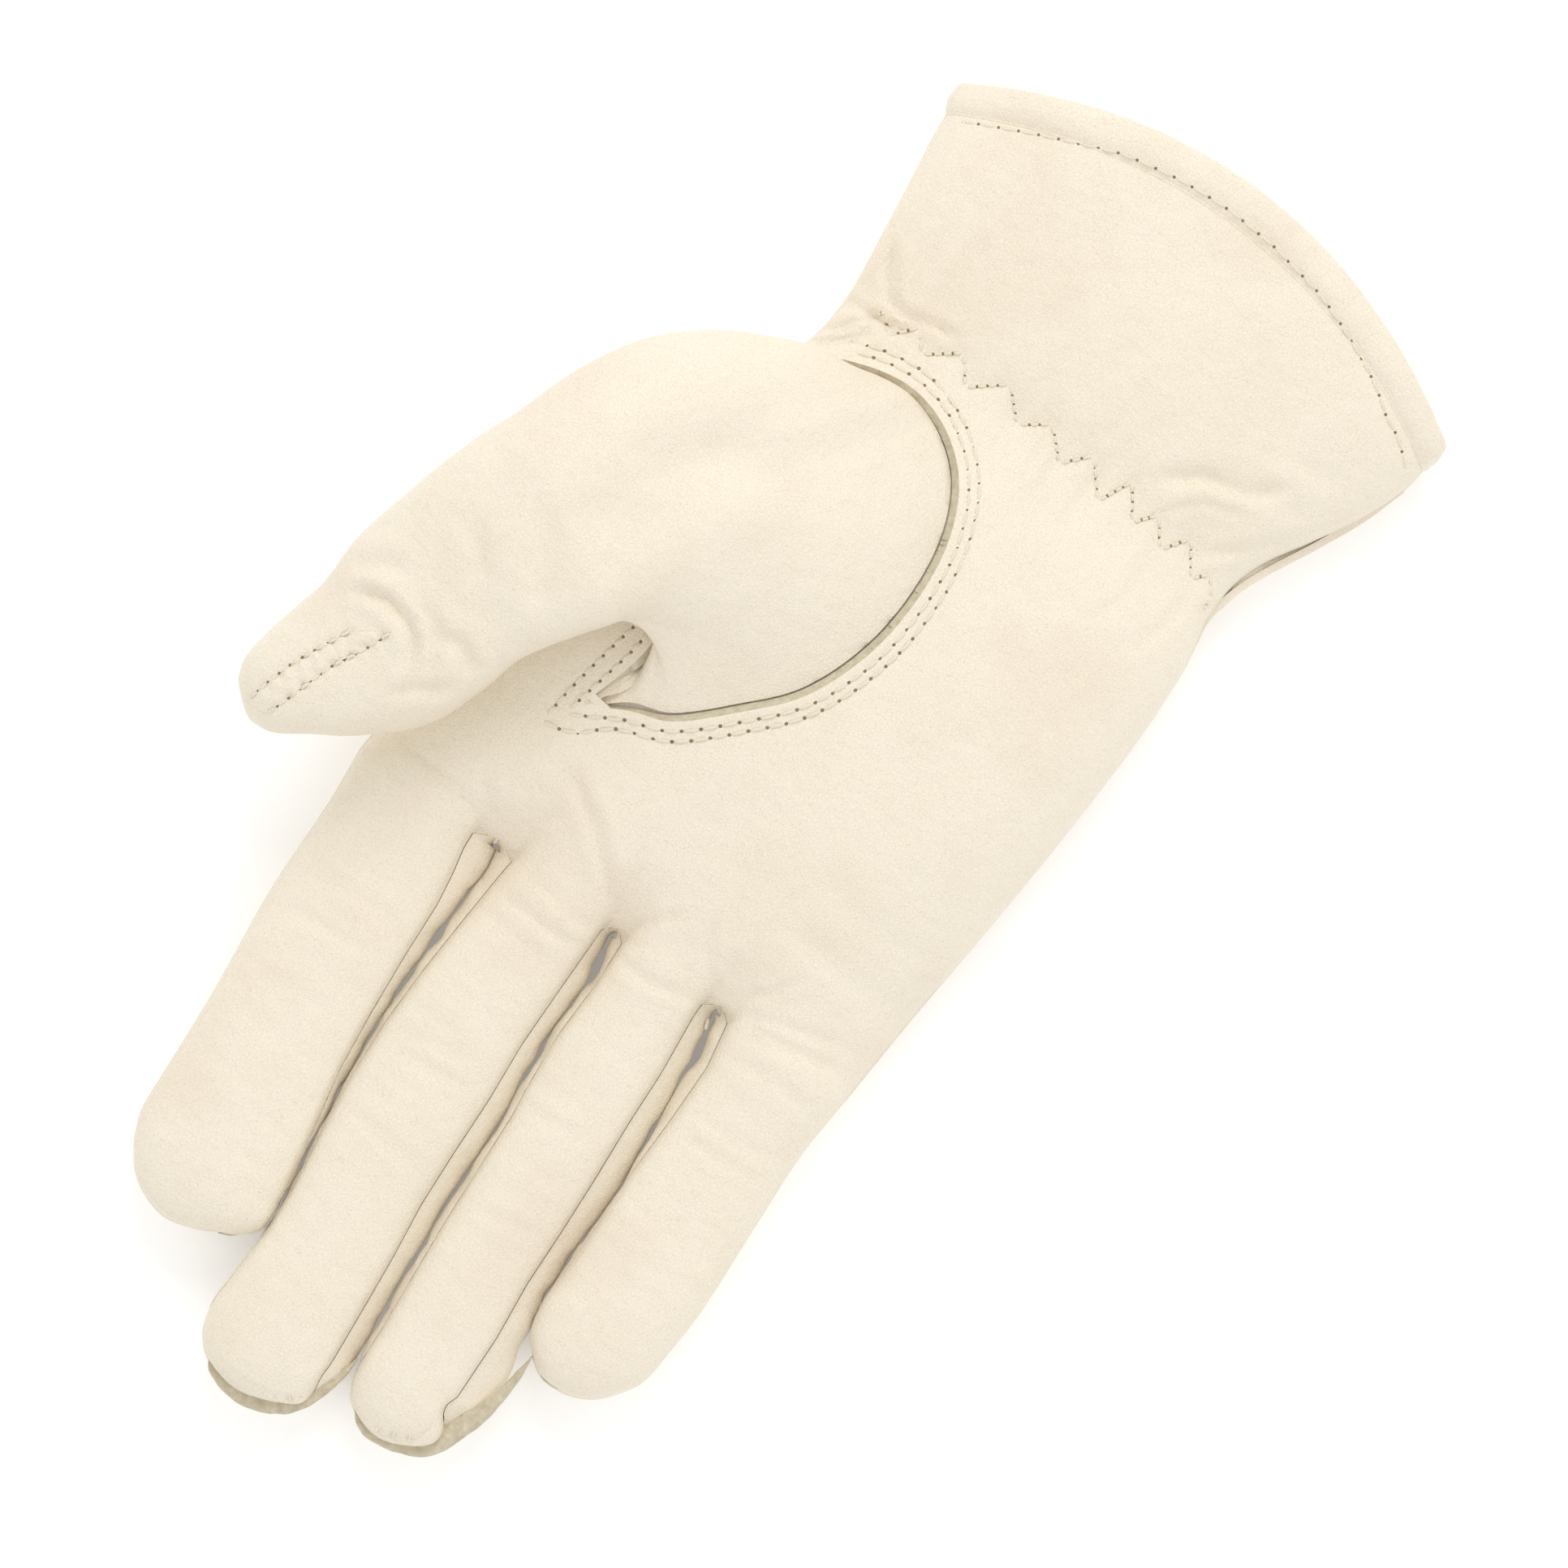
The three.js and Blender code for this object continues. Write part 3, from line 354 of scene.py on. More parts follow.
def root_row(panel):
    """The row of points where the fingers leave the palm, with a curve in each crotch."""
    rows = []
    for k, name in enumerate(NAMES):
        row = finger_points(name, panel, np.zeros(ACROSS), across_steps())
        if k > 0:
            before = rows[-1][-1]
            t = np.linspace(0, 1, CROTCH_CELLS + 1)[1:-1, None]
            gap = before + (row[0] - before) * t
            gap[:, 1:2] -= CROTCH_DEPTH * np.sin(math.pi * t)
            rows.append(gap)
        rows.append(row)
    return np.concatenate(rows)


def body_points(panel, roots, along):
    """Points of a panel's palm and cuff, for places along the hand, under a row of root points."""
    share = (roots[:, 0] - roots[0, 0]) / (roots[-1, 0] - roots[0, 0])
    along = np.asarray(along, float)[:, None]
    peek = read(BODY, "peek", along) if panel == "palm" else 0
    left = PALM_WIDTH * (read(BODY, "left", along) + peek)
    right = PALM_WIDTH * read(BODY, "right", along)
    x = left + share * (right - left)
    s = 2 * share - 1
    top = PALM_THICKNESS * read(BODY, "top", along)
    lift = HEM_STAND * read(BODY, "lift", along)
    z = panel_height(panel, seam_height(panel), top, rounded(s, BODY_ROUND), lift)
    y = WRIST_Y + along * np.where(along > 0, PALM_LENGTH, CUFF_LENGTH)
    y = y + CUFF_BOW * read(BODY, "bow", along) * s * s
    blend = smooth(1 - FINGER_BLEND, 1, along) ** (1 if panel == "back" else 3)
    return np.stack(np.broadcast_arrays(x, y, z + (roots[:, 2] - z) * blend), -1)


def quads_of(index):
    """Quads between the rows of a 2-D array of point numbers."""
    return np.stack([index[:-1, :-1], index[:-1, 1:], index[1:, 1:], index[1:, :-1]], -1).reshape(-1, 4)


def closed_across(index):
    return np.concatenate([index, index[:, :1]], 1)


def grid_index(rows, across):
    return np.arange(rows * across).reshape(rows, across)


class Sheet:
    """Several grids of points that share rows, as one open surface."""

    def __init__(self):
        self.points = []
        self.faces = []
        self.count = 0

    def put(self, points):
        points = np.asarray(points, float).reshape(-1, 3)
        self.points.append(points)
        start = self.count
        self.count += len(points)
        return np.arange(start, self.count)

    def grid(self, index, flip):
        quads = quads_of(index)
        self.faces.append(quads[:, ::-1] if flip else quads)

    def arrays(self):
        return np.concatenate(self.points), np.concatenate(self.faces)


def normals_of(points, faces):
    a, b, c, d = (points[faces[:, k]] for k in range(4))
    face_normals = np.cross(c - a, d - b)
    normals = np.zeros_like(points)
    for k in range(4):
        np.add.at(normals, faces[:, k], face_normals)
    return normals / np.maximum(np.linalg.norm(normals, axis=1, keepdims=True), 1e-9)


def facing(points, faces, way, at=slice(None)):
    """The faces, turned over if they look away from the given directions on average."""
    return faces if np.sum(normals_of(points, faces)[at] * way, axis=1).mean() > 0 else faces[:, ::-1]


def border_of(faces):
    """Edges that only one face has, each in that face's direction."""
    edges = np.concatenate([faces[:, [k, (k + 1) % 4]] for k in range(4)])
    keys = edges[:, 0].astype(np.int64) * (faces.max() + 1) + edges[:, 1]
    back = edges[:, 1].astype(np.int64) * (faces.max() + 1) + edges[:, 0]
    return edges[~np.isin(keys, back)]


def noise(points, size, seed=0):
    """Smooth value noise from -1 to 1 at 2-D places, with features of the given size on each axis."""
    places = np.asarray(points, float) / np.asarray(size, float)
    cell = np.floor(places).astype(np.int64)
    t = places - cell
    t = t * t * (3 - 2 * t)

    def value(ix, iy):
        n = (ix * 374761393 + iy * 668265263 + seed * 974634777) & 0x7FFFFFFF
        n = ((n ^ (n >> 13)) * 1274126177) & 0x7FFFFFFF
        n = (n ^ (n >> 16)) & 0xFFFF
        return n / 32767.5 - 1

    low = value(cell[:, 0], cell[:, 1]) * (1 - t[:, 0]) + value(cell[:, 0] + 1, cell[:, 1]) * t[:, 0]
    high = value(cell[:, 0], cell[:, 1] + 1) * (1 - t[:, 0]) + value(cell[:, 0] + 1, cell[:, 1] + 1) * t[:, 0]
    return low * (1 - t[:, 1]) + high * t[:, 1]


def units(rows):
    return rows / np.maximum(np.linalg.norm(rows, axis=-1, keepdims=True), 1e-9)


def noise_along(at, size, seed):
    return noise(np.stack([at, at * 0], -1), (size, 1), seed)


def distances(line):
    """How far along a line each of its points lies."""
    return np.concatenate([[0], np.cumsum(np.linalg.norm(np.diff(line, axis=0), axis=1))])


def places_along(line, at):
    """Plan places at the given distances along a line."""
    lengths = distances(line)
    return np.stack([np.interp(at, lengths, line[:, k]) for k in (0, 1)], -1)


def spread_line(line, count=120, rounds=4):
    """A curve through the given plan places, evenly spaced and smoothed."""
    line = np.asarray(line, float)
    curve = places_along(line, np.linspace(0, distances(line)[-1], count))
    for _ in range(rounds):
        curve[1:-1] = (curve[:-2] + 2 * curve[1:-1] + curve[2:]) / 4
    return curve


def line_distance(points, line):
    """Distance from 2-D places to a line of points, and how far along the line each lies, 0 to 1."""
    line = np.asarray(line, float)
    starts = distances(line)
    lengths = np.linalg.norm(np.diff(line, axis=0), axis=1)
    best = np.full(len(points), 1e9)
    place = np.zeros(len(points))
    for k, length in enumerate(lengths):
        run = (line[k + 1] - line[k]) / length
        along = np.clip((points - line[k]) @ run, 0, length)
        away = np.linalg.norm(points - line[k] - along[:, None] * run, axis=1)
        nearer = away < best
        best = np.where(nearer, away, best)
        place = np.where(nearer, (starts[k] + along) / starts[-1], place)
    return best, place


def folds_relief(points, folds):
    """Height of creases over 2-D places: a valley with a soft ridge on each side, fading at its ends."""
    height = np.zeros(len(points))
    for depth, width, line in folds:
        away, place = line_distance(points, line)
        fade = smooth(0, 0.25, place) * smooth(0, 0.25, 1 - place)
        valley = np.exp(-((away / width) ** 2))
        ridge = np.exp(-(((away - 2 * width) / (1.3 * width)) ** 2))
        height += depth * fade * (0.45 * ridge - valley)
    return height


# Creases of the palm panel: depth, half width and the line that each follows
PALM_FOLDS = [
    (0.55, 1.0, [(-1, 46.5), (5, 48.4), (10, 49.6), (17, 50)]),
    (0.5, 0.9, [(20, 51.8), (28, 52.6), (38, 52.2)]),
    (0.45, 0.8, [(20, 48.5), (28, 48), (39, 46.4)]),
    (0.6, 1.1, [(19, 47), (25, 40), (31, 35), (38, 31), (45, 29)]),
    (0.4, 0.9, [(18.5, 46.5), (14, 41), (10, 36)]),
    (0.35, 0.8, [(19.5, 46), (22, 38), (23, 31)]),
    (0.4, 0.8, [(-4, 46.5), (-13, 45), (-20, 43.5), (-27, 42)]),
    (0.35, 0.7, [(-4, 45), (-14, 41.5), (-22, 38.5)]),
    (0.3, 0.7, [(-3, 44.5), (-8, 38), (-11, 32)]),
    (0.35, 0.8, [(0, 45), (5, 40), (8, 33)]),
    (0.5, 0.9, [(45.5, 45.4), (51, 43.6), (57, 42.6), (67, 42)]),
    (0.45, 0.8, [(44.5, 45), (47, 42), (51, 38)]),
    (0.3, 0.8, [(42, 44.5), (39, 39), (35, 36)]),
    (0.22, 1.0, [(45, 72), (54, 73.5), (64, 74.5)]),
    (0.26, 1.2, [(46, 66), (55, 66.5), (66, 68)]),
    (0.18, 1.0, [(44, 85), (53, 84), (62, 86)]),
    (0.24, 1.0, [(21, 76), (30, 78), (38, 80)]),
    (0.2, 0.9, [(20, 79.5), (30, 82), (37, 83)]),
    (0.18, 1.1, [(19, 94), (27, 95.5), (36, 95)]),
    (0.24, 1.0, [(-1, 75), (7, 76.5), (14, 78)]),
    (0.2, 0.9, [(-2, 92), (6, 94.5), (13, 96)]),
    (0.26, 0.9, [(-26, 51), (-16, 50), (-6, 52)]),
    (0.22, 0.9, [(-26.5, 60), (-16, 61.5), (-7, 62)]),
    (0.2, 0.8, [(-27, 64), (-17, 65.5), (-8, 66)]),
    (0.3, 2.0, [(-29, 31), (-18, 30), (0, 29)]),
    (0.22, 2.2, [(-29, 20), (-15, 21), (2, 19)]),
    (0.45, 2.0, [(-4.3, -60.7), (-9.3, -65.5), (-18.6, -71.2), (-31, -73)]),
    (0.35, 1.6, [(-23, -78), (-27, -79.4), (-33, -80.4)]),
    (0.5, 1.5, [(36.5, -59), (37.5, -68), (38, -80)]),
    (0.45, 1.3, [(42.5, -58), (43.5, -66), (44, -76)]),
    (0.4, 1.0, [(47, -56), (47.9, -66.6), (48.5, -76)]),
    (1.0, 0.9, [(42.9, -57), (45, -52.5), (47.6, -49.4), (50.7, -47.3)]),
    (0.9, 0.8, [(43.6, -58), (46, -55), (48, -52), (51, -50)]),
    (0.9, 0.8, [(37.6, -58.6), (42.8, -57), (48.6, -56.7), (51, -57)]),
    (0.9, 0.9, [(39.6, -59), (44.7, -61.2), (47.7, -65.4), (50, -70)]),
    (0.6, 0.8, [(30.6, -62.4), (37.5, -61.2), (42.6, -59.5)]),
    (0.55, 1.1, [(-5.7, -61.3), (-12.4, -67.9), (-20.5, -69.8), (-27.4, -77.4)]),
    (0.5, 0.9, [(-18.7, -56.9), (-25.5, -62.9), (-32.3, -70.8)]),
    (0.35, 0.8, [(-10.7, -58.6), (-15.0, -64.4), (-24.2, -68.0)]),
    (0.35, 1.4, [(15, -60), (16, -70), (15.5, -79)]),
    (0.3, 1.5, [(3, -61), (2.5, -70), (3.5, -78)]),
    (0.4, 1.2, [(-22, -54), (-22.5, -46), (-20, -38)]),
    (0.3, 1.2, [(-14, -53), (-14.5, -45), (-12, -37)]),
    (0.35, 0.45, [(-5.6, 119), (-5.2, 126), (-4.6, 130), (-2, 132), (1.2, 132.8), (4.5, 132.2), (7, 130.6),
                  (8.6, 128)]),
    (0.35, 0.45, [(14, 124), (13.5, 130), (13.8, 134.6), (15.2, 137.3), (18.1, 139.2), (21, 139.9),
                  (25, 140.2), (29, 139.4), (31.5, 137.6), (33, 135)]),
]
THUMB_FOLDS = [
    (0.9, 4.5, [(61, 5), (59.5, -4), (57.5, -13), (51, -24), (42, -33)]),
    (0.5, 3.0, [(54, 5), (53.5, -6), (50, -17)]),
    (0.45, 2.2, [(57.5, 14.5), (62, 6.5), (67, -2.5)]),
    (0.4, 1.8, [(68, 15), (71.5, 11), (75, 7)]),
    (0.5, 1.4, [(60, 27), (65, 24.5), (70, 25.5)]),
    (0.75, 1.1, [(69.6, 33.5), (70.2, 30.4), (71.4, 28.3), (74.4, 26.4), (78.8, 25.8), (82.7, 27),
                 (85, 29.5)]),
    (0.4, 1.2, [(66.5, 33), (67.3, 28.5), (70.5, 24.5), (76, 22.5)]),
    (0.35, 1.1, [(62, 31), (66.5, 34), (70, 38)]),
    (0.3, 1.4, [(78, 20), (83, 21.5), (87, 25)]),
]
ZIGZAG = [
    (-25.6, -50.9), (-25.7, -53.4), (-23.2, -56.4), (-21.1, -53.9), (-17.3, -59.1), (-14.4, -54.6),
    (-10.9, -58.9), (-8.2, -55.4), (-4.3, -60.7), (-1.8, -54.8), (3, -60.3), (6.8, -55.9),
    (11.4, -60.3), (15.9, -56.9), (20.6, -61.4), (26.1, -56.6), (29.4, -61), (34.8, -56.7),
    (37.5, -60.1), (41.1, -55.7), (43.2, -58.9), (44.6, -57.3),
]
ZIGZAG_Y = -58
THUMB_ROWS = [
    [(75.2, 29.3), (77.3, 34.7), (79.8, 39.5), (81.5, 45.3), (82.8, 49.3), (83.5, 51.5)],
    [(80, 32.8), (81.9, 36.8), (84.4, 42.5), (85.8, 47.4), (86.8, 51.6)],
]


# Where the strips of each gap stand apart a little, as y
OPEN_PLACES = {"ring": 54, "middle": 53, "index": 64}

# Raw seam edges past the fingertips: the middle of each strip and its width
LIPS = [
    ([(-11.6, 109), (-11.9, 113), (-11.7, 117), (-11.2, 121), (-10.1, 125), (-8.7, 129), (-6.9, 131.7),
      (-4, 133.4), (-1, 134.5), (2, 135), (4.5, 134.4), (6.2, 132.6)], 1.7),
    ([(10.6, 126), (10.7, 129), (11.4, 132.4), (12.6, 136), (14.6, 139), (17.4, 141.2), (21.5, 142.5),
      (25.5, 142.5), (28.6, 141.6), (30.4, 139.2)], 1.7),
    ([(36.8, 119.8), (38.4, 121.9), (40.6, 123.3)], 0.8),
    ([(-18, 110.6), (-15.5, 110.8), (-13.3, 109.6)], 0.8),
]

# Section of each raw edge, as shares of half its width and half its height
LIP_SECTION = [(-2.6, 0.1), (-0.6, 0.75), (0.4, 0.8), (1, 0.45), (1.05, -0.2), (0.9, -0.75), (-2.6, -0.8)]

# Where the visible parts of the rows round the thumb hole end, as shares of the way round it
ROW_ENDS = {1.6: (0.02, 0.56), 3.2: (0.03, 0.57)}
CORNERS = {1.6: [(45.6, 23.2)], 3.2: [(48.1, 26.2), (45, 25.8), (41.6, 24.1)]}
SIDE_ROWS = {
    1.6: [(43.1, 2.4), (42.8, 5.1), (43.2, 9.3), (43.9, 13.2), (44.8, 18), (45.6, 22.4)],
    3.2: [(45.1, 3.6), (45.2, 5.1), (46.5, 12.8), (47.3, 18.2), (48, 25.2)],
}
HEM_LINE = [
    (-38.4, -88.3), (-34.3, -91.6), (-30.7, -93), (-26.4, -95.9), (-22.9, -97.6), (-18.6, -99.4),
    (-14.3, -101), (-10, -102.3), (-5, -103.1), (0, -103.9), (8.6, -104.3), (14.3, -103.9), (18.6, -103.4),
    (22.9, -102.5), (27.9, -101.4), (34.3, -98.7), (41.8, -95.4), (50, -91.4), (52.5, -90.2),
]
SINGLE_STITCHES = [
    ((-4.2, 131.8), (-3.2, 130.2)), ((-1.6, 133), (-1, 131.2)), ((1.2, 133.6), (1.3, 131.8)),
    ((14.8, 138), (16, 136.8)), ((16.8, 139.6), (17.8, 138.2)), ((19, 140.6), (19.6, 139)),
    ((-4.6, 49.6), (-3, 48.4)), ((-4.2, 48.2), (-2.4, 47.4)), ((-3.4, 47), (-1.8, 46.4)),
    ((-2.4, 50.4), (-1.6, 48.6)), ((42.7, 46.9), (42.6, 45.2)), ((43.8, 46.5), (43.9, 44.9)),
    ((45, 46.8), (45.4, 45.2)), ((17.4, 47.6), (18.4, 46.4)), ((19.4, 47.4), (20.4, 46.4)),
]


def hole_points(share, grow=0.0):
    """Places round the thumb hole, with their outward direction and the other columns."""
    share = np.asarray(share, float) % 1
    count = len(HOLE["x"])
    place = share * count
    i = np.minimum(np.floor(place).astype(int), count - 1)
    t = place - i
    turns = np.unwrap(np.concatenate([HOLE["turn"], [HOLE["turn"][0] - 360]]) * math.pi / 180)

    def column(key, cornered):
        values = turns[:-1] if key == "turn" else HOLE[key]
        step = turns[-1] - turns[0] if key == "turn" else 0
        p1 = values[i]
        p2 = np.where(i == count - 1, values[0] + step, values[(i + 1) % count])
        a = np.where(i == 0, p1 if cornered else values[-1] - step, values[i - 1])
        after = values[(i + 2) % count] + np.where(i + 2 >= count, step, 0)
        d = np.where(i == count - 1, p2 if cornered else after, after)
        b1 = (p2 - a) / 2
        b2 = a - 2.5 * p1 + 2 * p2 - d / 2
        b3 = 1.5 * (p1 - p2) + (d - a) / 2
        return p1 + t * (b1 + t * (b2 + t * b3)), b1 + t * (2 * b2 + t * 3 * b3)

    x, dx = column("x", True)
    y, dy = column("y", True)
    out = np.stack([HOLE_LENGTH * dy, -HOLE_WIDTH * dx], -1)
    out /= np.linalg.norm(out, axis=1, keepdims=True)
    places = np.stack([HOLE_PLACE[0] + HOLE_WIDTH * x, HOLE_PLACE[1] + HOLE_LENGTH * y], -1)
    columns = {key: column(key, False)[0] for key in ("turn", "push", "lean")}
    return places + out * np.asarray(grow)[..., None], out, columns


def thumb_points(along, turn):
    """Points of the thumb's outside past the hole."""
    cross = np.array([THUMB_RUN[1], -THUMB_RUN[0], 0])
    centre = np.array(THUMB_CENTRE) + along[..., None] * THUMB_LENGTH * THUMB_RUN
    centre = centre + read(THUMB, "aside", along)[..., None] * THUMB_WIDTH * cross
    centre[..., 2] -= read(THUMB, "drop", along) * THUMB_THICKNESS
    bend = np.radians(read(THUMB, "bend", along))
    side = np.stack([cross[0] * np.cos(bend) - cross[1] * np.sin(bend),
                     cross[0] * np.sin(bend) + cross[1] * np.cos(bend), np.zeros_like(bend)], -1)
    half = read(THUMB, "width", along) * THUMB_WIDTH / 2
    tall = read(THUMB, "high", along) * THUMB_THICKNESS / 2
    across = np.sign(np.cos(turn)) * np.abs(np.cos(turn)) ** THUMB_ROUND
    up = np.sign(np.sin(turn)) * np.abs(np.sin(turn)) ** THUMB_ROUND
    points = centre + side * (half * across)[..., None]
    points[..., 2] += tall * up
    return points


def wrist_gathers(places):
    """Small pleats drawn in across the wrist."""
    away = np.abs(places[:, 1] - ZIGZAG_Y)
    bend = 2.0 * noise(places, (30, 30), 5)
    shifted = places + np.stack([bend, bend * 0], -1)
    pleats = noise(shifted, (3.1, 26), 11) + 0.5 * noise(shifted, (1.7, 18), 12)
    return 0.5 * pleats * np.exp(-((away / 11) ** 2))


def palm_relief(points):
    """Height of the palm's creases, pleats and waves."""
    places = points[:, :2]
    height = folds_relief(places, PALM_FOLDS)
    height += 0.32 * noise(places, (19, 24), 1) + 0.12 * noise(places, (7, 9), 2)
    height += wrist_gathers(places)
    zigzag, _ = line_distance(places, ZIGZAG)
    height -= 0.4 * np.exp(-((zigzag / 0.8) ** 2))
    on_fingers = smooth(48, 56, places[:, 1]) * smooth(0, 14, 128 - places[:, 1])
    height += 0.13 * on_fingers * noise(places, (11, 1.6), 3)
    in_cuff = smooth(0, 20, -62 - places[:, 1])
    height += 0.5 * in_cuff * noise(places, (16, 20), 8)
    return height


def thumb_relief(points, normals):
    """Height along the normals of the thumb's folds and grain waves, on its upper side."""
    places = points[:, :2]
    upper = smooth(0.05, 0.5, normals[:, 2])
    height = 1.5 * folds_relief(places, THUMB_FOLDS) * upper
    height += 0.3 * noise(places, (15, 18), 21) + 0.13 * noise(places, (4, 6), 22)
    for row in THUMB_ROWS:
        away, place = line_distance(places, row)
        pucker = np.cos(2 * math.pi * place * THUMB_STITCHES)
        height -= upper * 0.3 * np.exp(-((away / 0.6) ** 2))
        height += upper * 0.26 * pucker * np.exp(-((away / 1.5) ** 2)) * smooth(0, 0.2, 1 - place)
    return height


def cut_hole(points, faces):
    """Takes the thumb hole out of the palm surface and moves its border onto the hole's outline."""
    outline = hole_points(np.arange(OUTLINE_STEPS) / OUTLINE_STEPS)[0]
    places = points[:, :2]
    low, high = outline.min(0), outline.max(0)
    near = np.all((places > low) & (places < high), axis=1) & (points[:, 2] > SEAM_HEIGHT)
    inside = np.zeros(len(points), bool)
    x, y = places[near, 0][:, None], places[near, 1][:, None]
    a, b = outline, np.roll(outline, -1, axis=0)
    crosses = (a[:, 1] > y) != (b[:, 1] > y)
    at = a[:, 0] + (y - a[:, 1]) / (b[:, 1] - a[:, 1] + 1e-12) * (b[:, 0] - a[:, 0])
    inside[near] = np.sum(crosses & (x < at), axis=1) % 2 == 1
    kept = faces[~np.all(inside[faces], axis=1)]
    moved = np.unique(kept[inside[kept]])
    gaps = np.linalg.norm(places[moved][:, None] - outline[None], axis=2)
    points = points.copy()
    points[moved, :2] = outline[np.argmin(gaps, axis=1)]
    return points, kept, moved


def compact(points, faces, marks):
    """Drops the points that no face uses, and renumbers the faces and marks."""
    used = np.unique(faces)
    number = np.full(len(points), -1)
    number[used] = np.arange(len(used))
    return points[used], number[faces], number[marks]


def thicken(points, faces, wall, rim_kind, inner=None):
    """A closed wall: the outer faces, the same faces moved in by the wall, and a rim between them."""
    if inner is None:
        inner = points - wall * normals_of(points, faces)
    n = len(points)
    border = border_of(faces)
    rim = np.stack([border[:, 1], border[:, 0], border[:, 0] + n, border[:, 1] + n], -1)
    all_points = np.concatenate([points, inner])
    all_faces = np.concatenate([faces, faces[:, ::-1] + n, rim])
    kinds = np.repeat([0, 1, rim_kind], [len(faces), len(faces), len(rim)])
    return all_points, all_faces, kinds


def keep_top(name, points, faces):
    """Keeps a finished surface, for what lies on it."""
    TOPS[name] = BVHTree.FromPolygons(points.tolist(), faces.tolist())


def seam_points(points, border):
    """Border points of a panel past the hem's reach."""
    return border[points[border, 1] > WRIST_Y - CUFF_LENGTH + HEM_WIDTH + PAST_HEM]


def wrist_side(points, border):
    """A panel's border past the wrist on the little finger's side, in order along the hand."""
    x, y = points[border, 0], points[border, 1]
    side = points[border][(x < 0) & (np.abs(y - SIDE_MIDDLE) < SIDE_HALF)]
    return side[np.argsort(side[:, 1])]


def make_object(name, points, faces, materials, kinds=None, sharp=math.radians(55)):
    """A mesh object in metres in the part's frame, with a material for each kind of face."""
    places = (points + SHIFT) / 1000
    mesh = bpy.data.meshes.new(name)
    size = faces.shape[1]
    mesh.vertices.add(len(places))
    mesh.vertices.foreach_set("co", places.ravel())
    mesh.loops.add(faces.size)
    mesh.loops.foreach_set("vertex_index", faces.ravel().astype(np.int32))
    mesh.polygons.add(len(faces))
    mesh.polygons.foreach_set("loop_start", np.arange(0, faces.size, size, dtype=np.int32))
    for material in materials:
        mesh.materials.append(material)
    if kinds is not None:
        mesh.polygons.foreach_set("material_index", kinds.astype(np.int32))
    mesh.polygons.foreach_set("use_smooth", np.ones(len(faces), bool))
    mesh.update(calc_edges=True)
    mesh.validate()
    mesh.set_sharp_from_angle(angle=sharp)
    piece = bpy.data.objects.new(name, mesh)
    bpy.context.scene.collection.objects.link(piece)
    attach(piece, "root")
    return piece


def soften_roots(body, roots):
    """Lets the grooves between the fingers fade into the palm, in place."""
    rows = 26
    z = np.concatenate([body[-rows:, :, 2], roots[None, :, 2]])
    for _ in range(rows):
        z[1:-1, 1:-1] = (z[:-2, 1:-1] + z[2:, 1:-1] + z[1:-1, :-2] + z[1:-1, 2:]) / 4
    body[-rows:, :, 2] = z[:-1]


def panel_surface(panel):
    """A panel's outer points and faces."""
    sheet = Sheet()
    flip = panel == "back"
    roots = root_row(panel)
    rows_down = np.arange(-1, 0, STEP / CUFF_LENGTH)
    rows_up = np.arange(0, 1, STEP / PALM_LENGTH)[:-1]
    alongs = np.concatenate([rows_down, rows_up])
    body = body_points(panel, roots, alongs)
    if panel == "palm":
        soften_roots(body.reshape(len(alongs), -1, 3), roots)
    index = sheet.put(body).reshape(len(alongs), -1)
    crotch = sheet.put(roots)
    sheet.grid(np.concatenate([index, crotch[None]]), flip)
    for k, name in enumerate(NAMES):
        start = k * (ACROSS + CROTCH_CELLS - 1)
        row = crotch[start:start + ACROSS]
        straight = FINGERS[name]["length"] - FINGERS[name]["tip"]
        along = np.linspace(0, 1, int(straight / STEP) + 1)[1:, None]
        finger = finger_points(name, panel, along, across_steps()[None])
        v = np.linspace(0, 1, TIP_ROWS + 1)[1:, None]
        tip = tip_points(name, panel, *np.broadcast_arrays(v, across_steps()[None]))
        index = sheet.put(np.concatenate([finger, tip])).reshape(-1, ACROSS)
        sheet.grid(np.concatenate([row[None], index]), flip)
    return sheet.arrays()


def keep_cuff_rows(panel, points, faces):
    """Keeps the rows of a panel that its hem covers, with their inner side and normals."""
    normals = normals_of(points, faces)
    width = len(root_row(panel))
    rows = np.arange(8 * width).reshape(8, width)
    CUFF_ROWS[panel] = (points[rows], points[rows] - WALL * normals[rows], normals[rows])


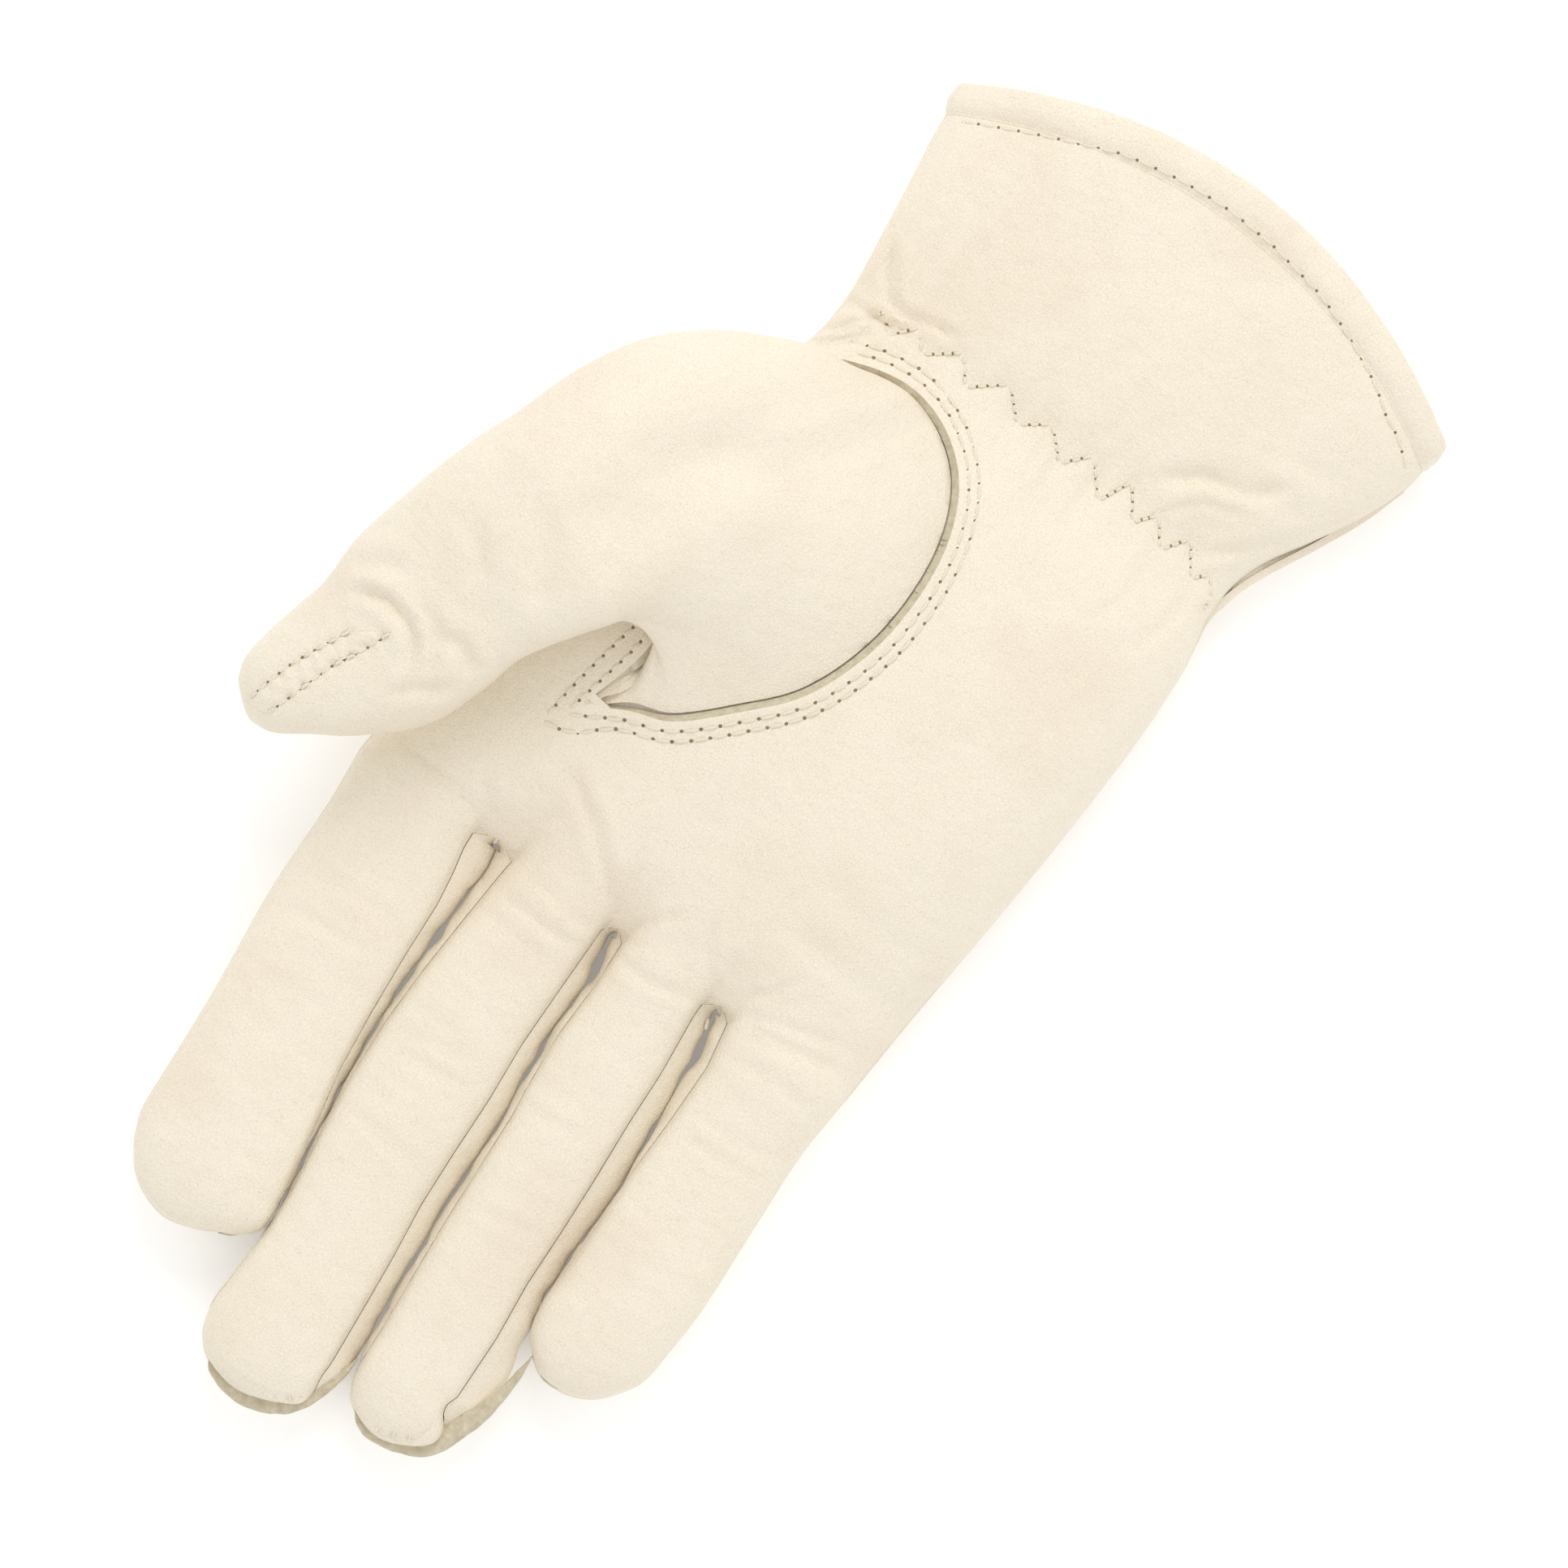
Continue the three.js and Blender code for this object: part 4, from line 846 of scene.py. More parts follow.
def build_palm():
    """The palm panel with its creases, and its thumb hole with a raw edge."""
    points, faces = panel_surface("palm")
    border = np.unique(border_of(faces))
    normals = normals_of(points, faces)
    wrist = wrist_side(points, border)
    CUFF_ROWS["palm_side"] = wrist
    away, _ = line_distance(points[:, :2], wrist[:, :2])
    points[:, 2] += palm_relief(points) * smooth(0.15, 0.6, normals[:, 2]) * smooth(0, 3, away)
    outline = hole_points(np.arange(360) / 360)[0]
    edge, _ = line_distance(points[:, :2], np.concatenate([outline, outline[:1]]))
    lifted = normals[:, 2] > 0.3
    points[:, 2] += lifted * 0.5 * np.exp(-((edge / 2.2) ** 2))
    for grow in STITCH_ROWS:
        points[:, 2] -= lifted * STITCH_DIP * np.exp(-(((edge - grow) / 0.5) ** 2))
    points[seam_points(points, border), 2] -= SEAM_DIP
    keep_top("palm", points, faces)
    keep_cuff_rows("palm", points, faces)
    points, faces, moved = compact(*cut_hole(points, faces))
    inner = points - WALL * normals_of(points, faces)
    outline, out, _ = hole_points(np.arange(OUTLINE_STEPS) / OUTLINE_STEPS)
    nearest = np.argmin(np.linalg.norm(points[moved][:, None, :2] - outline[None], axis=2), axis=1)
    at = nearest / OUTLINE_STEPS
    strip = RAW_STRIP * (0.12 + smooth(0, 0.12, at) * (1 - smooth(0.6, 0.7, at)))
    strip += SIDE_STRIP * smooth(0.8, 0.86, at) * (1 - smooth(0.9, 1.0, at))
    inner[moved, :2] = points[moved, :2] - strip[:, None] * out[nearest]
    points, faces, kinds = thicken(points, faces, WALL, 2, inner)
    at_hole = np.isin(faces[:, 0], moved) | np.isin(faces[:, 1], moved)
    kinds[(kinds == 2) & ~at_hole] = 0
    piece = make_object("palm", points, faces, [LEATHER, FLESH, RAW], kinds)
    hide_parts("palm_panel")


def wrist_tuck(back, palm):
    """Fold of leather that closes the seam's gap on the little finger's side of the cuff."""
    low, high = -86, -53
    y = np.linspace(low, high, 90)
    v = np.linspace(0, 1, 9)
    outer = np.stack([np.interp(y, back[:, 1], back[:, k]) for k in range(3)], -1)
    inner = np.stack([np.interp(y, palm[:, 1], palm[:, k]) for k in range(3)], -1)
    outer += [0.25, 0, -0.3]
    inner += [2.2, 0, -WALL - 0.55]
    points = outer[:, None] + (inner - outer)[:, None] * v[None, :, None]
    ends = smooth(0, 0.12, (y - low) / (high - low)) * smooth(0, 0.12, (high - y) / (high - low))
    waves = 0.45 * noise_along(y, 5.5, 81) + 0.3 * noise_along(y, 2.6, 82)
    points[..., 2] += (ends * (0.55 + waves))[:, None] * np.sin(math.pi * v) - (1 - ends)[:, None] * 0.5
    points = points.reshape(-1, 3)
    faces = facing(points, quads_of(grid_index(len(y), len(v))), [0, 0, 1])
    points, faces, kinds = thicken(points, faces, THIN_WALL, 0)
    return points, faces, kinds * 0


def build_back():
    """The back panel, with the raw seam edges past the fingertips and the fold at the wrist."""
    points, faces = panel_surface("back")
    places = points[:, :2]
    normals = normals_of(points, faces)
    lower = smooth(0.2, 0.7, -normals[:, 2])
    height = 0.25 * noise(places, (17, 21), 31) + 0.1 * noise(places, (6, 8), 32)
    height += 0.8 * wrist_gathers(places)
    points[:, 2] += np.abs(height) * lower
    border = np.unique(border_of(faces))
    points[seam_points(points, border), 2] += SEAM_DIP
    keep_cuff_rows("back", points, faces)
    keep_top("back", points, faces)
    tuck = wrist_tuck(wrist_side(points, border), CUFF_ROWS["palm_side"])
    points, faces, kinds = thicken(points, faces, WALL, 0)
    for more in [lip(*edge) for edge in LIPS] + [tuck]:
        faces = np.concatenate([faces, more[1] + len(points)])
        points = np.concatenate([points, more[0]])
        kinds = np.concatenate([kinds, more[2]])
    piece = make_object("back", points, faces, [LEATHER, FLESH, RAW], kinds)
    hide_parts("back_panel")


def drop(names, places, default=math.nan):
    """Heights and normals of the highest finished surface straight below plan places."""
    heights = np.full(len(places), default)
    normals = np.tile([0.0, 0.0, 1.0], (len(places), 1))
    for k, (x, y) in enumerate(places):
        top = -1e9
        for name in (names,) if isinstance(names, str) else names:
            hit = TOPS[name].ray_cast(Vector((x, y, 200)), Vector((0, 0, -1)))
            if hit[0] is not None and hit[0].z > top:
                top = heights[k] = hit[0].z
                normal = hit[1] if hit[1].z > 0 else -hit[1]
                normals[k] = normal
    return heights, normals


def build_thumb():
    """The thumb, with its leather from under the thumb hole's edge."""
    count = THUMB_AROUND
    share = np.arange(count) / count
    edge, _, columns = hole_points(share)
    lean = np.maximum(columns["lean"], 0)
    from_point = smooth(0, 9, np.linalg.norm(edge - edge[0], axis=1))
    clearance = (0.9 + 0.5 * lean) * from_point
    hidden, _, _ = hole_points(share, 2.2 * lean - 0.9 * (1 - lean))
    place, out, _ = hole_points(share, -clearance)
    hidden_z, _ = drop("palm", hidden, SEAM_HEIGHT)
    under, _ = drop("palm", place, SEAM_HEIGHT)
    step = smooth(0.35, 0.65, 1 - columns["lean"])
    rise = (step * (WALL + SEAM_GAP + COLLAR_RISE) - (1 - step) * SEAM_GAP) * (1 - lean) - 0.75 * lean
    start = np.concatenate([place, (under + rise)[:, None]], 1)
    end = thumb_points(np.zeros(count), columns["turn"])
    gap = end - start
    distance = np.linalg.norm(gap, axis=1)
    leave = np.zeros((count, 3))
    leave[:, :2] = -out * (columns["lean"] * math.cos(RISE_ANGLE))[:, None]
    leave[:, 2] = math.sin(RISE_ANGLE)
    leave *= (distance * columns["push"])[:, None]

    # At the hole's point the leather first leaves towards the cuff, and keeps off the raw edge
    beside = np.clip((share - 0.9) / 0.1, 0, 1)
    ahead = (1 - smooth(0, 0.06, share)) * (share < 0.5)
    leave[:, 0] -= POINT_LEAVE[0] * (beside ** 1.6 + ahead)
    leave[:, 1] -= POINT_LEAVE[1] * (beside ** 1.1 + ahead)
    leave[:, 2] -= POINT_LEAVE[2] * (beside + ahead)
    near = np.where(share < 0.5, 1 - smooth(0, 0.16, share), smooth(0.86, 1, share))
    arrive = THUMB_RUN * (DOME_END * np.maximum(gap @ THUMB_RUN, 0) + POINT_ARRIVE * near)[:, None]

    # A flange under the palm panel, the strip up to the thumb, the thumb and its closed end
    rings = [np.concatenate([hidden, (hidden_z - WALL - FOLD_GAP)[:, None]], 1),
             np.concatenate([place, (np.minimum(under - WALL - FOLD_GAP, start[:, 2] - 0.3))[:, None]], 1)]
    for t in np.linspace(0, 1, RISE_ROWS)[:-1]:
        rings.append(start * (2 * t**3 - 3 * t**2 + 1) + leave * (t**3 - 2 * t**2 + t)
                     + end * (3 * t**2 - 2 * t**3) + arrive * (t**3 - t**2))
    alongs = np.concatenate([np.arange(0, 0.9, 0.9 / THUMB_LENGTH), np.linspace(0.9, 0.985, 9)])
    for along in alongs:
        rings.append(thumb_points(np.full(count, along), columns["turn"]))
    last = rings[-1]
    centre = last.mean(0)
    for shrink, ahead in ((0.8, 0.25), (0.5, 0.45), (0.15, 0.55)):
        rings.append(centre + (last - centre) * shrink + THUMB_RUN * ahead)
    points = np.concatenate(rings)
    faces = quads_of(closed_across(grid_index(len(rings), count)))
    normals = normals_of(points, faces)
    free = np.repeat(np.clip((np.arange(len(rings)) - 2) / 5, 0, 1), count)
    points += normals * (free * thumb_relief(points, normals))[:, None]
    keep_top("thumb", points, faces)
    points, faces, kinds = thicken(points, faces, WALL, 1)
    at_point = np.linalg.norm(points[faces[:, 0], :2] - edge[0] + [2, 8], axis=1) < 13
    kinds[at_point] = 0
    piece = make_object("thumb_leather", points, faces, [LEATHER, FLESH], kinds)
    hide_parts("thumb")


def build_thumb_strip():
    """Narrow gusset in the thumb's end, puckered between its two rows of stitches."""
    rows, across = 58, STRIP_ACROSS
    t = np.linspace(0, 1, rows)
    v = np.linspace(-0.04, 1.04, across)
    a, b = (places_along(row, t * distances(row)[-1]) for row in map(np.array, THUMB_ROWS))
    places = (a[:, None] + (b - a)[:, None] * v[None, :, None]).reshape(-1, 2)
    heights, normals = drop("thumb", places, THUMB_CENTRE[2])
    v = np.tile(v, rows)
    t = np.repeat(t, across)
    crown = np.maximum(1 - (2 * v - 1) ** 2, 0)
    pucker = np.cos(2 * math.pi * THUMB_STITCHES * t + 0.6 * np.sin(9 * v))
    edge = np.exp(-((np.minimum(v, 1 - v) / 0.16) ** 2))
    height = 0.1 + 0.25 * np.sqrt(crown) + 0.09 * pucker * (0.4 + 0.6 * edge)
    height += 0.06 * noise(places, (1.3, 1.6), 41)
    height *= 0.35 + 0.65 * smooth(0, 0.06, t) * smooth(0, 0.06, 1 - t)
    points = np.concatenate([places, heights[:, None]], 1) + normals * height[:, None]
    faces = facing(points, quads_of(grid_index(rows, across)), [0, 0, 1])
    keep_top("strip", points, faces)
    points, faces, kinds = thicken(points, faces, THIN_WALL, 0)
    piece = make_object("thumb_gusset", points, faces, [LEATHER, FLESH], kinds)
    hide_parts("thumb_tip_strip")


def fourchette(before, after):
    """Strip of leather between two fingers, from one fingertip round the crotch to the other."""
    steps = {name: int((size["length"] - size["tip"]) / STEP) for name, size in FINGERS.items()}
    down = np.linspace(1, 0, steps[before])
    up = np.linspace(0, 1, steps[after])
    tip = np.linspace(0, 0.88, 13)[1:]
    turn = np.linspace(0, 1, 13)[1:-1]
    across = STRIP_ACROSS
    v = np.linspace(0, 1, across)

    def trace(panel):
        one = finger_points(before, panel, down, np.ones(len(down)))
        one = np.concatenate([tip_points(before, panel, tip[::-1], np.ones(len(tip))), one])
        two = finger_points(after, panel, up, -np.ones(len(up)))
        two = np.concatenate([two, tip_points(after, panel, tip, -np.ones(len(tip)))])
        gap = one[-1] + (two[0] - one[-1]) * turn[:, None]
        gap[:, 1] -= CROTCH_DEPTH * np.sin(math.pi * turn)
        return np.concatenate([one, gap, two])

    top, bottom = trace("palm"), trace("back")
    count = (len(down) + len(tip), len(up) + len(tip))
    angle = math.pi * np.concatenate([np.zeros(count[0]), turn, np.ones(count[1])])
    away = np.stack([np.cos(angle), np.sin(angle), np.zeros(len(angle))], -1)
    a = top + away * SEAM_GAP * 0.4 - [0, 0, 0.6]
    b = bottom + away * SEAM_GAP + [0, 0, 0.75]
    lines = np.array(GAPS[after])
    middle = (a + b) / 2
    gap_x = np.interp(middle[:, 1], lines[:, 0], lines[:, 1])
    touch = 0.16 + 0.5 * np.exp(-((middle[:, 1] - OPEN_PLACES[after]) / 2.6) ** 2)
    own_one = np.concatenate([tip_points(before, "palm", tip[::-1], np.ones(len(tip)), False)[:, 0],
                              finger_sides(before, "palm", down, False)[1]])
    own_two = np.concatenate([finger_sides(after, "palm", up, False)[0],
                              tip_points(after, "palm", tip, -np.ones(len(tip)), False)[:, 0]])
    beside_one = smooth(-6, -1, middle[:count[0], 1] - CROTCH_Y - FINGERS[after]["length"])
    beside_two = smooth(-4, 0, middle[-count[1]:, 1] - CROTCH_Y - FINGERS[before]["length"])
    limit_one = (gap_x - touch)[:count[0]] * (1 - beside_one) + own_one * beside_one
    limit_two = (gap_x + touch)[-count[1]:] * (1 - beside_two) + own_two * beside_two
    swell_one = np.clip(limit_one - middle[:count[0], 0], 0.1, 4)
    swell_two = np.clip(middle[-count[1]:, 0] - limit_two, 0.1, 4.5)
    ends = 12
    swell_one[:ends] *= np.linspace(0.06, 1, ends)
    swell_two[-ends:] *= np.linspace(1, 0.06, ends)
    ease = np.abs(2 * turn - 1)
    side = np.where(turn < 0.5, swell_one[-1], swell_two[0])
    swell = np.concatenate([swell_one, FOLD_GAP + (side - FOLD_GAP) * ease**2, swell_two])
    shape = np.sin(math.pi * v) ** 0.75
    points = a[:, None] + (b - a)[:, None] * v[None, :, None]
    length = distances(top)
    where = np.stack(np.meshgrid(length, v * 9, indexing="ij"), -1).reshape(-1, 2)
    seed = 50 + NAMES.index(after)
    pucker = 0.3 * noise(where, (3.2, 5), seed) + 0.14 * noise(where, (1.5, 3), seed + 9)
    pucker = pucker.reshape(len(length), across) * np.sin(math.pi * v) ** 0.5
    points = points + away[:, None] * (swell[:, None] * shape + np.minimum(pucker, 0.12))[..., None]
    from_end = np.minimum(np.arange(len(away)), np.arange(len(away))[::-1])
    tucked = np.clip(1 - from_end / 6, 0, 1)
    points[..., 0] -= (away[:, 0] * 1.6 * tucked**1.5)[:, None]
    points[..., 1] -= 1.2 * tucked[:, None]
    points = points.reshape(-1, 3)
    faces = facing(points, quads_of(grid_index(len(away), across)), np.repeat(away, across, axis=0))
    points, faces, kinds = thicken(points, faces, WALL, 0)
    piece = make_object(f"side_strip_{before}_{after}", points, faces, [LEATHER, FLESH], kinds)
    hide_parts(f"fourchette_{before}_{after}")


def build_hem():
    """Leather turned over the cuff's end, with both sides of it and its rolled edge."""
    depth = 7
    both = zip(CUFF_ROWS["palm"], CUFF_ROWS["back"])
    outer, inner, normals = (np.concatenate([a[:depth], b[:depth, -2:0:-1]], 1) for a, b in both)
    count = outer.shape[1]
    for _ in range(3):
        normals = (normals + np.roll(normals, 1, axis=1) + np.roll(normals, -1, axis=1)) / 3
        normals /= np.linalg.norm(normals, axis=2, keepdims=True)
    outward = outer[0] - outer[3]
    outward /= np.linalg.norm(outward, axis=1, keepdims=True)
    middle = (outer + inner) / 2
    thick = WALL / 2 + FOLD_GAP + HEM_WALL
    run = distances(outer[0])
    ripple = 0.16 * noise_along(run, 4.2, 61) + 0.1 * noise_along(run, 1.9, 62)
    stitch_dip = 0.12 * np.cos(2 * math.pi * run / HEM_PITCH)
    rings = []
    for k in range(depth - 1, -1, -1):
        puff = 0.24 + 0.76 * math.sqrt(max(0.0, 1 - (k / (depth - 1)) ** 3))
        seam = math.exp(-(((k - (depth - 2.4)) / 0.8) ** 2))
        height = thick * puff + (ripple if k < depth - 2 else 0) - seam * (0.3 + stitch_dip)
        rings.append(middle[k] + normals[k] * np.broadcast_to(height, (count,))[:, None])
    for angle in np.linspace(90, -90, 11)[1:-1]:
        turn = math.radians(angle)
        rings.append(middle[0] + normals[0] * (math.sin(turn) * thick + ripple)[:, None]
                     + outward * (FOLD_GAP + math.cos(turn) * HEM_WALL))
    for k in range(depth):
        rings.append(middle[k] - normals[k] * thick)
    for k in [depth - 1, *range(depth - 1, -1, -1)]:
        rings.append(middle[k] - normals[k] * (WALL / 2 + 0.1))
    rings.append(middle[0] - normals[0] * 0.2 + outward * FOLD_GAP)
    rings.append(middle[0] + normals[0] * 0.2 + outward * FOLD_GAP)
    for k in range(depth):
        rings.append(middle[k] + normals[k] * (WALL / 2 + 0.1))
    points = np.concatenate(rings)
    index = grid_index(len(rings), count)
    faces = quads_of(closed_across(np.concatenate([index, index[:1]])))
    faces = facing(points, faces, normals[depth - 1], index[0])
    points[:, 2] = np.maximum(points[:, 2], 0.02)
    keep_top("hem", points, faces)
    piece = make_object("hem", points, faces, [LEATHER])
    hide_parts("cuff_hem")


def lip(line, wide):
    """One raw seam edge: rings of points along a line, with a material for each kind of face."""
    line = np.array(line, float)
    whole = distances(line)[-1]
    count = int(whole / 0.45)
    at = np.linspace(0, whole, count)
    centre = spread_line(line, count, 6)
    run = np.gradient(centre, axis=0)
    run /= np.linalg.norm(run, axis=1, keepdims=True)
    out = np.stack([-run[:, 1], run[:, 0]], -1)
    ends = np.sin(math.pi * np.clip(at / whole, 0.01, 0.99)) ** 0.7
    half = wide / 2 * ends + 0.12 * noise_along(at, 1.6, 71) * ends
    sections = []
    for side, z in LIP_SECTION:
        place = centre + out * (half * side)[:, None]
        height = SEAM_HEIGHT + 0.5 + z * LIP_THICKNESS / 2 + 0.08 * noise(place, (0.9, 0.9), 72)
        sections.append(np.concatenate([place, height[:, None]], 1))
    grid = grid_index(len(sections), count)
    faces = quads_of(np.concatenate([grid, grid[:1]]))
    kinds = np.zeros((len(sections), count - 1), int)
    kinds[:5] = 2
    return np.concatenate(sections), faces, kinds.ravel()


class Threads:
    """Capsules of thread lying over needle holes, with a dark button of painted shade in each hole."""

    def __init__(self):
        self.points = []
        self.faces = []
        self.kinds = []
        self.count = 0

    def rings(self, rings, kind, order):
        """A closed tube round rings of points."""
        faces = quads_of(closed_across(grid_index(*rings.shape[:2])))[:, order] + self.count
        self.points.append(rings.reshape(-1, 3))
        self.faces.append(faces)
        self.kinds.append(np.full(len(faces), kind))
        self.count += len(self.points[-1])

    def stitch(self, a, b, normal, radius, rise):
        """One stitch between two needle holes, squeezed a little towards the leather."""
        t = np.array([0, 0.03, 0.12, 0.3, 0.5, 0.7, 0.88, 0.97, 1])
        lift = np.sin(math.pi * t) ** 0.6 * (rise + 0.22) - 0.22
        radii = radius * np.array([0.15, 0.6, 0.92, 1.05, 1, 1.05, 0.92, 0.6, 0.15])
        centres = a + (b - a) * t[:, None] + normal * lift[:, None]
        run = units(np.gradient(centres, axis=0))
        side = units(np.cross(run, normal))
        above = np.cross(side, run)
        turn = (np.arange(8) * math.pi / 4)[None, :, None]
        ring = side[:, None] * np.cos(turn) + 0.85 * above[:, None] * np.sin(turn)
        self.rings(centres[:, None] + ring * radii[:, None, None], 0, [0, 1, 2, 3])

    def hole(self, at, normal, radius):
        """A needle hole, as a shallow button sunk in the leather and coloured dark brown: painted shade for
        the hole's depth.
        """
        side = np.cross(normal, [0.3, 0.9, 0.1])
        side /= np.linalg.norm(side)
        other = np.cross(normal, side)
        turn = (np.arange(8) * math.pi / 4)[:, None]
        ring = side * np.cos(turn) + other * np.sin(turn)
        rows = [(0.02, 0.05), (0.7, 0.045), (1, 0.02), (1.0, -0.2), (0.02, -0.22)]
        self.rings(np.array([at + ring * radius * r + normal * h for r, h in rows]), 1, [0, 3, 2, 1])

    def run(self, surface, line, pitch, length, radius, rise):
        """A row of stitches along a plan line, lying on a finished surface."""
        whole = distances(line)[-1]
        count = max(int(round(whole / pitch)), 1)
        step = whole / count
        before = None
        for k in range(count):
            middle = (k + 0.5) * step
            flat = places_along(line, [middle - length / 2, middle + length / 2])
            heights, normals = drop(surface, flat)
            if np.isnan(heights).any():
                continue
            a, b = np.concatenate([flat, heights[:, None]], 1)
            normal = normals.mean(0)
            self.stitch(a, b, normal / np.linalg.norm(normal), radius, rise)
            if before is not None:
                # Dark button of painted shade in the needle hole between two stitches
                self.hole((a + before) / 2, normals[0], radius * 1.1)
            before = b

    def arrays(self):
        return np.concatenate(self.points), np.concatenate(self.faces), np.concatenate(self.kinds)


def hole_stitches(threads):
    """Two rows round the thumb hole, where the palm panel shows beside it."""
    count = 1200
    for grow in STITCH_ROWS:
        places, _, _ = hole_points(np.arange(count) / count, grow)
        first, last = ROW_ENDS[grow]
        row = np.concatenate([CORNERS[grow], places[int(first * count):int(last * count)]])
        threads.run("palm", spread_line(row, 600), *HOLE_STITCH)
        threads.run("palm", spread_line(SIDE_ROWS[grow]), *SIDE_STITCH)


def zigzag_stitches(threads):
    """Zigzag of short stitches across the wrist."""
    for start, end in zip(np.array(ZIGZAG), np.array(ZIGZAG)[1:]):
        size = np.linalg.norm(end - start)
        inset = ZIGZAG_INSET / size
        leg = np.array([start + (end - start) * inset, end + (start - end) * inset])
        parts = max(int(round(size / ZIGZAG_PITCH)), 2)
        pitch = (size - 2 * ZIGZAG_INSET) / parts
        threads.run("palm", leg, pitch, pitch * 0.8, *ZIGZAG_THREAD)


def single_stitches(threads):
    """Short stitches over the raw edges at the fingertips and in the crotches."""
    for ends in SINGLE_STITCHES:
        heights, normals = drop("palm", np.array(ends), SEAM_HEIGHT)
        heights = np.where(np.isnan(heights), np.nanmax(heights), heights)
        a, b = np.concatenate([ends, heights[:, None]], 1)
        normal = normals.mean(0)
        threads.stitch(a, b, normal / np.linalg.norm(normal), *SINGLE_THREAD)


def build_stitches():
    """All the threads, and the dark buttons of painted shade at their needle holes, in one piece."""
    threads = Threads()
    hole_stitches(threads)
    zigzag_stitches(threads)
    threads.run(("hem", "palm", "back"), spread_line(HEM_LINE, 300), *HEM_STITCH)
    for row, push in zip(THUMB_ROWS, (-0.25, 0.25)):
        line = spread_line(row)
        line[:, 0] += push
        threads.run(("thumb", "strip"), line, *THUMB_STITCH)
    single_stitches(threads)
    points, faces, kinds = threads.arrays()
    piece = make_object("stitching", points, faces, [THREAD, NEEDLE_HOLE_SHADE], kinds, math.radians(70))


# Materials

class Surface:
    """A new material, with short ways to add nodes to it. Its vector is in millimetres."""

    def __init__(self, name):
        self.material = bpy.data.materials.new(name)
        self.material.use_nodes = True
        self.tree = self.material.node_tree
        place = self.add("ShaderNodeTexCoord", {})
        inputs = {"Vector": place.outputs["Object"], "Scale": (1000, 1000, 1000)}
        self.vector = self.add("ShaderNodeMapping", inputs).outputs["Vector"]

    def fill(self, node, inputs):
        """Sets inputs of a node to values or to outputs of other nodes."""
        for name, value in inputs.items():
            if isinstance(value, bpy.types.NodeSocket):
                self.tree.links.new(value, node.inputs[name])
            else:
                node.inputs[name].default_value = value

    def add(self, kind, inputs, **settings):
        node = self.tree.nodes.new(kind)
        for name, value in settings.items():
            setattr(node, name, value)
        self.fill(node, inputs)
        return node

    def shade(self, inputs):
        """Sets the material's own inputs, and returns the finished material."""
        self.fill(self.tree.nodes["Principled BSDF"], inputs)
        return self.material

    def noise(self, scale, detail=2.0, rough=0.5):
        inputs = {"Vector": self.vector, "Scale": scale, "Detail": detail, "Roughness": rough}
        return self.add("ShaderNodeTexNoise", inputs).outputs["Fac"]

    def ramp(self, value, *stops):
        node = self.add("ShaderNodeValToRGB", {"Fac": value})
        elements = node.color_ramp.elements
        while len(elements) < len(stops):
            elements.new(0.5)
        for element, (at, colour) in zip(elements, stops):
            element.position = at
            element.color = (*colour, 1)
        return node.outputs["Color"]

    def spread(self, value, low, high):
        """A value from 0 to 1, spread from low to high."""
        inputs = {"Value": value, "To Min": low, "To Max": high}
        return self.add("ShaderNodeMapRange", inputs).outputs["Result"]

    def bump(self, height, strength, distance, before=None):
        inputs = {"Height": height, "Strength": strength, "Distance": distance}
        if before is not None:
            inputs["Normal"] = before
        return self.add("ShaderNodeBump", inputs).outputs["Normal"]


def linear(*colour):
    """Display colour 0 to 255 as scene-linear."""
    shares = [c / 255 for c in colour]
    return tuple(c / 12.92 if c <= 0.04045 else ((c + 0.055) / 1.055) ** 2.4 for c in shares)


def leather_material():
    leather = Surface("cream_leather")
    base = leather.ramp(leather.noise(0.035, 3, 0.55), (0.3, linear(240, 229, 208)),
                        (0.5, linear(243, 233, 214)), (0.72, linear(240, 227, 207)))
    specks = leather.ramp(leather.noise(2.2, 3, 0.65), (0.3, linear(236, 224, 202)),
                          (0.44, linear(255, 255, 255)))
    mix = leather.add("ShaderNodeMix", {"Factor": 0.45, "A": base, "B": specks},
                      data_type="RGBA", blend_type="MULTIPLY")

    # Grain: the edges of cells that soft noise draws out of shape
    warp_noise = leather.add("ShaderNodeTexNoise", {"Vector": leather.vector, "Scale": 0.6, "Detail": 2})
    warp = leather.add("ShaderNodeVectorMath",
                       {0: warp_noise.outputs["Color"], 1: (0.9, 0.9, 0.9), 2: leather.vector},
                       operation="MULTIPLY_ADD")
    cells = leather.add("ShaderNodeTexVoronoi", {"Vector": warp.outputs["Vector"], "Scale": 1.55},
                        feature="DISTANCE_TO_EDGE")
    grain = leather.ramp(cells.outputs["Distance"], (0.0, (0, 0, 0)), (0.16, (0.85, 0.85, 0.85)),
                         (0.5, (1, 1, 1)))

    pores = leather.add("ShaderNodeTexVoronoi", {"Vector": leather.vector, "Scale": 1.5})
    pore_depth = leather.ramp(pores.outputs["Distance"], (0.06, (0, 0, 0)), (0.16, (1, 1, 1)))
    normal = leather.bump(leather.noise(0.28, 3, 0.5), 0.35, 0.0012)
    normal = leather.bump(grain, 0.36, 0.0002, normal)
    normal = leather.bump(leather.noise(3.2, 3, 0.6), 0.4, 0.00014, normal)
    normal = leather.bump(pore_depth, 0.3, 0.00012, normal)
    return leather.shade({
        "Base Color": mix.outputs["Result"], "Normal": normal, "Specular IOR Level": 0.45,
        "Roughness": leather.spread(leather.noise(0.5, 3, 0.6), 0.36, 0.56),
        "Sheen Weight": 0.12, "Sheen Roughness": 0.45,
    })


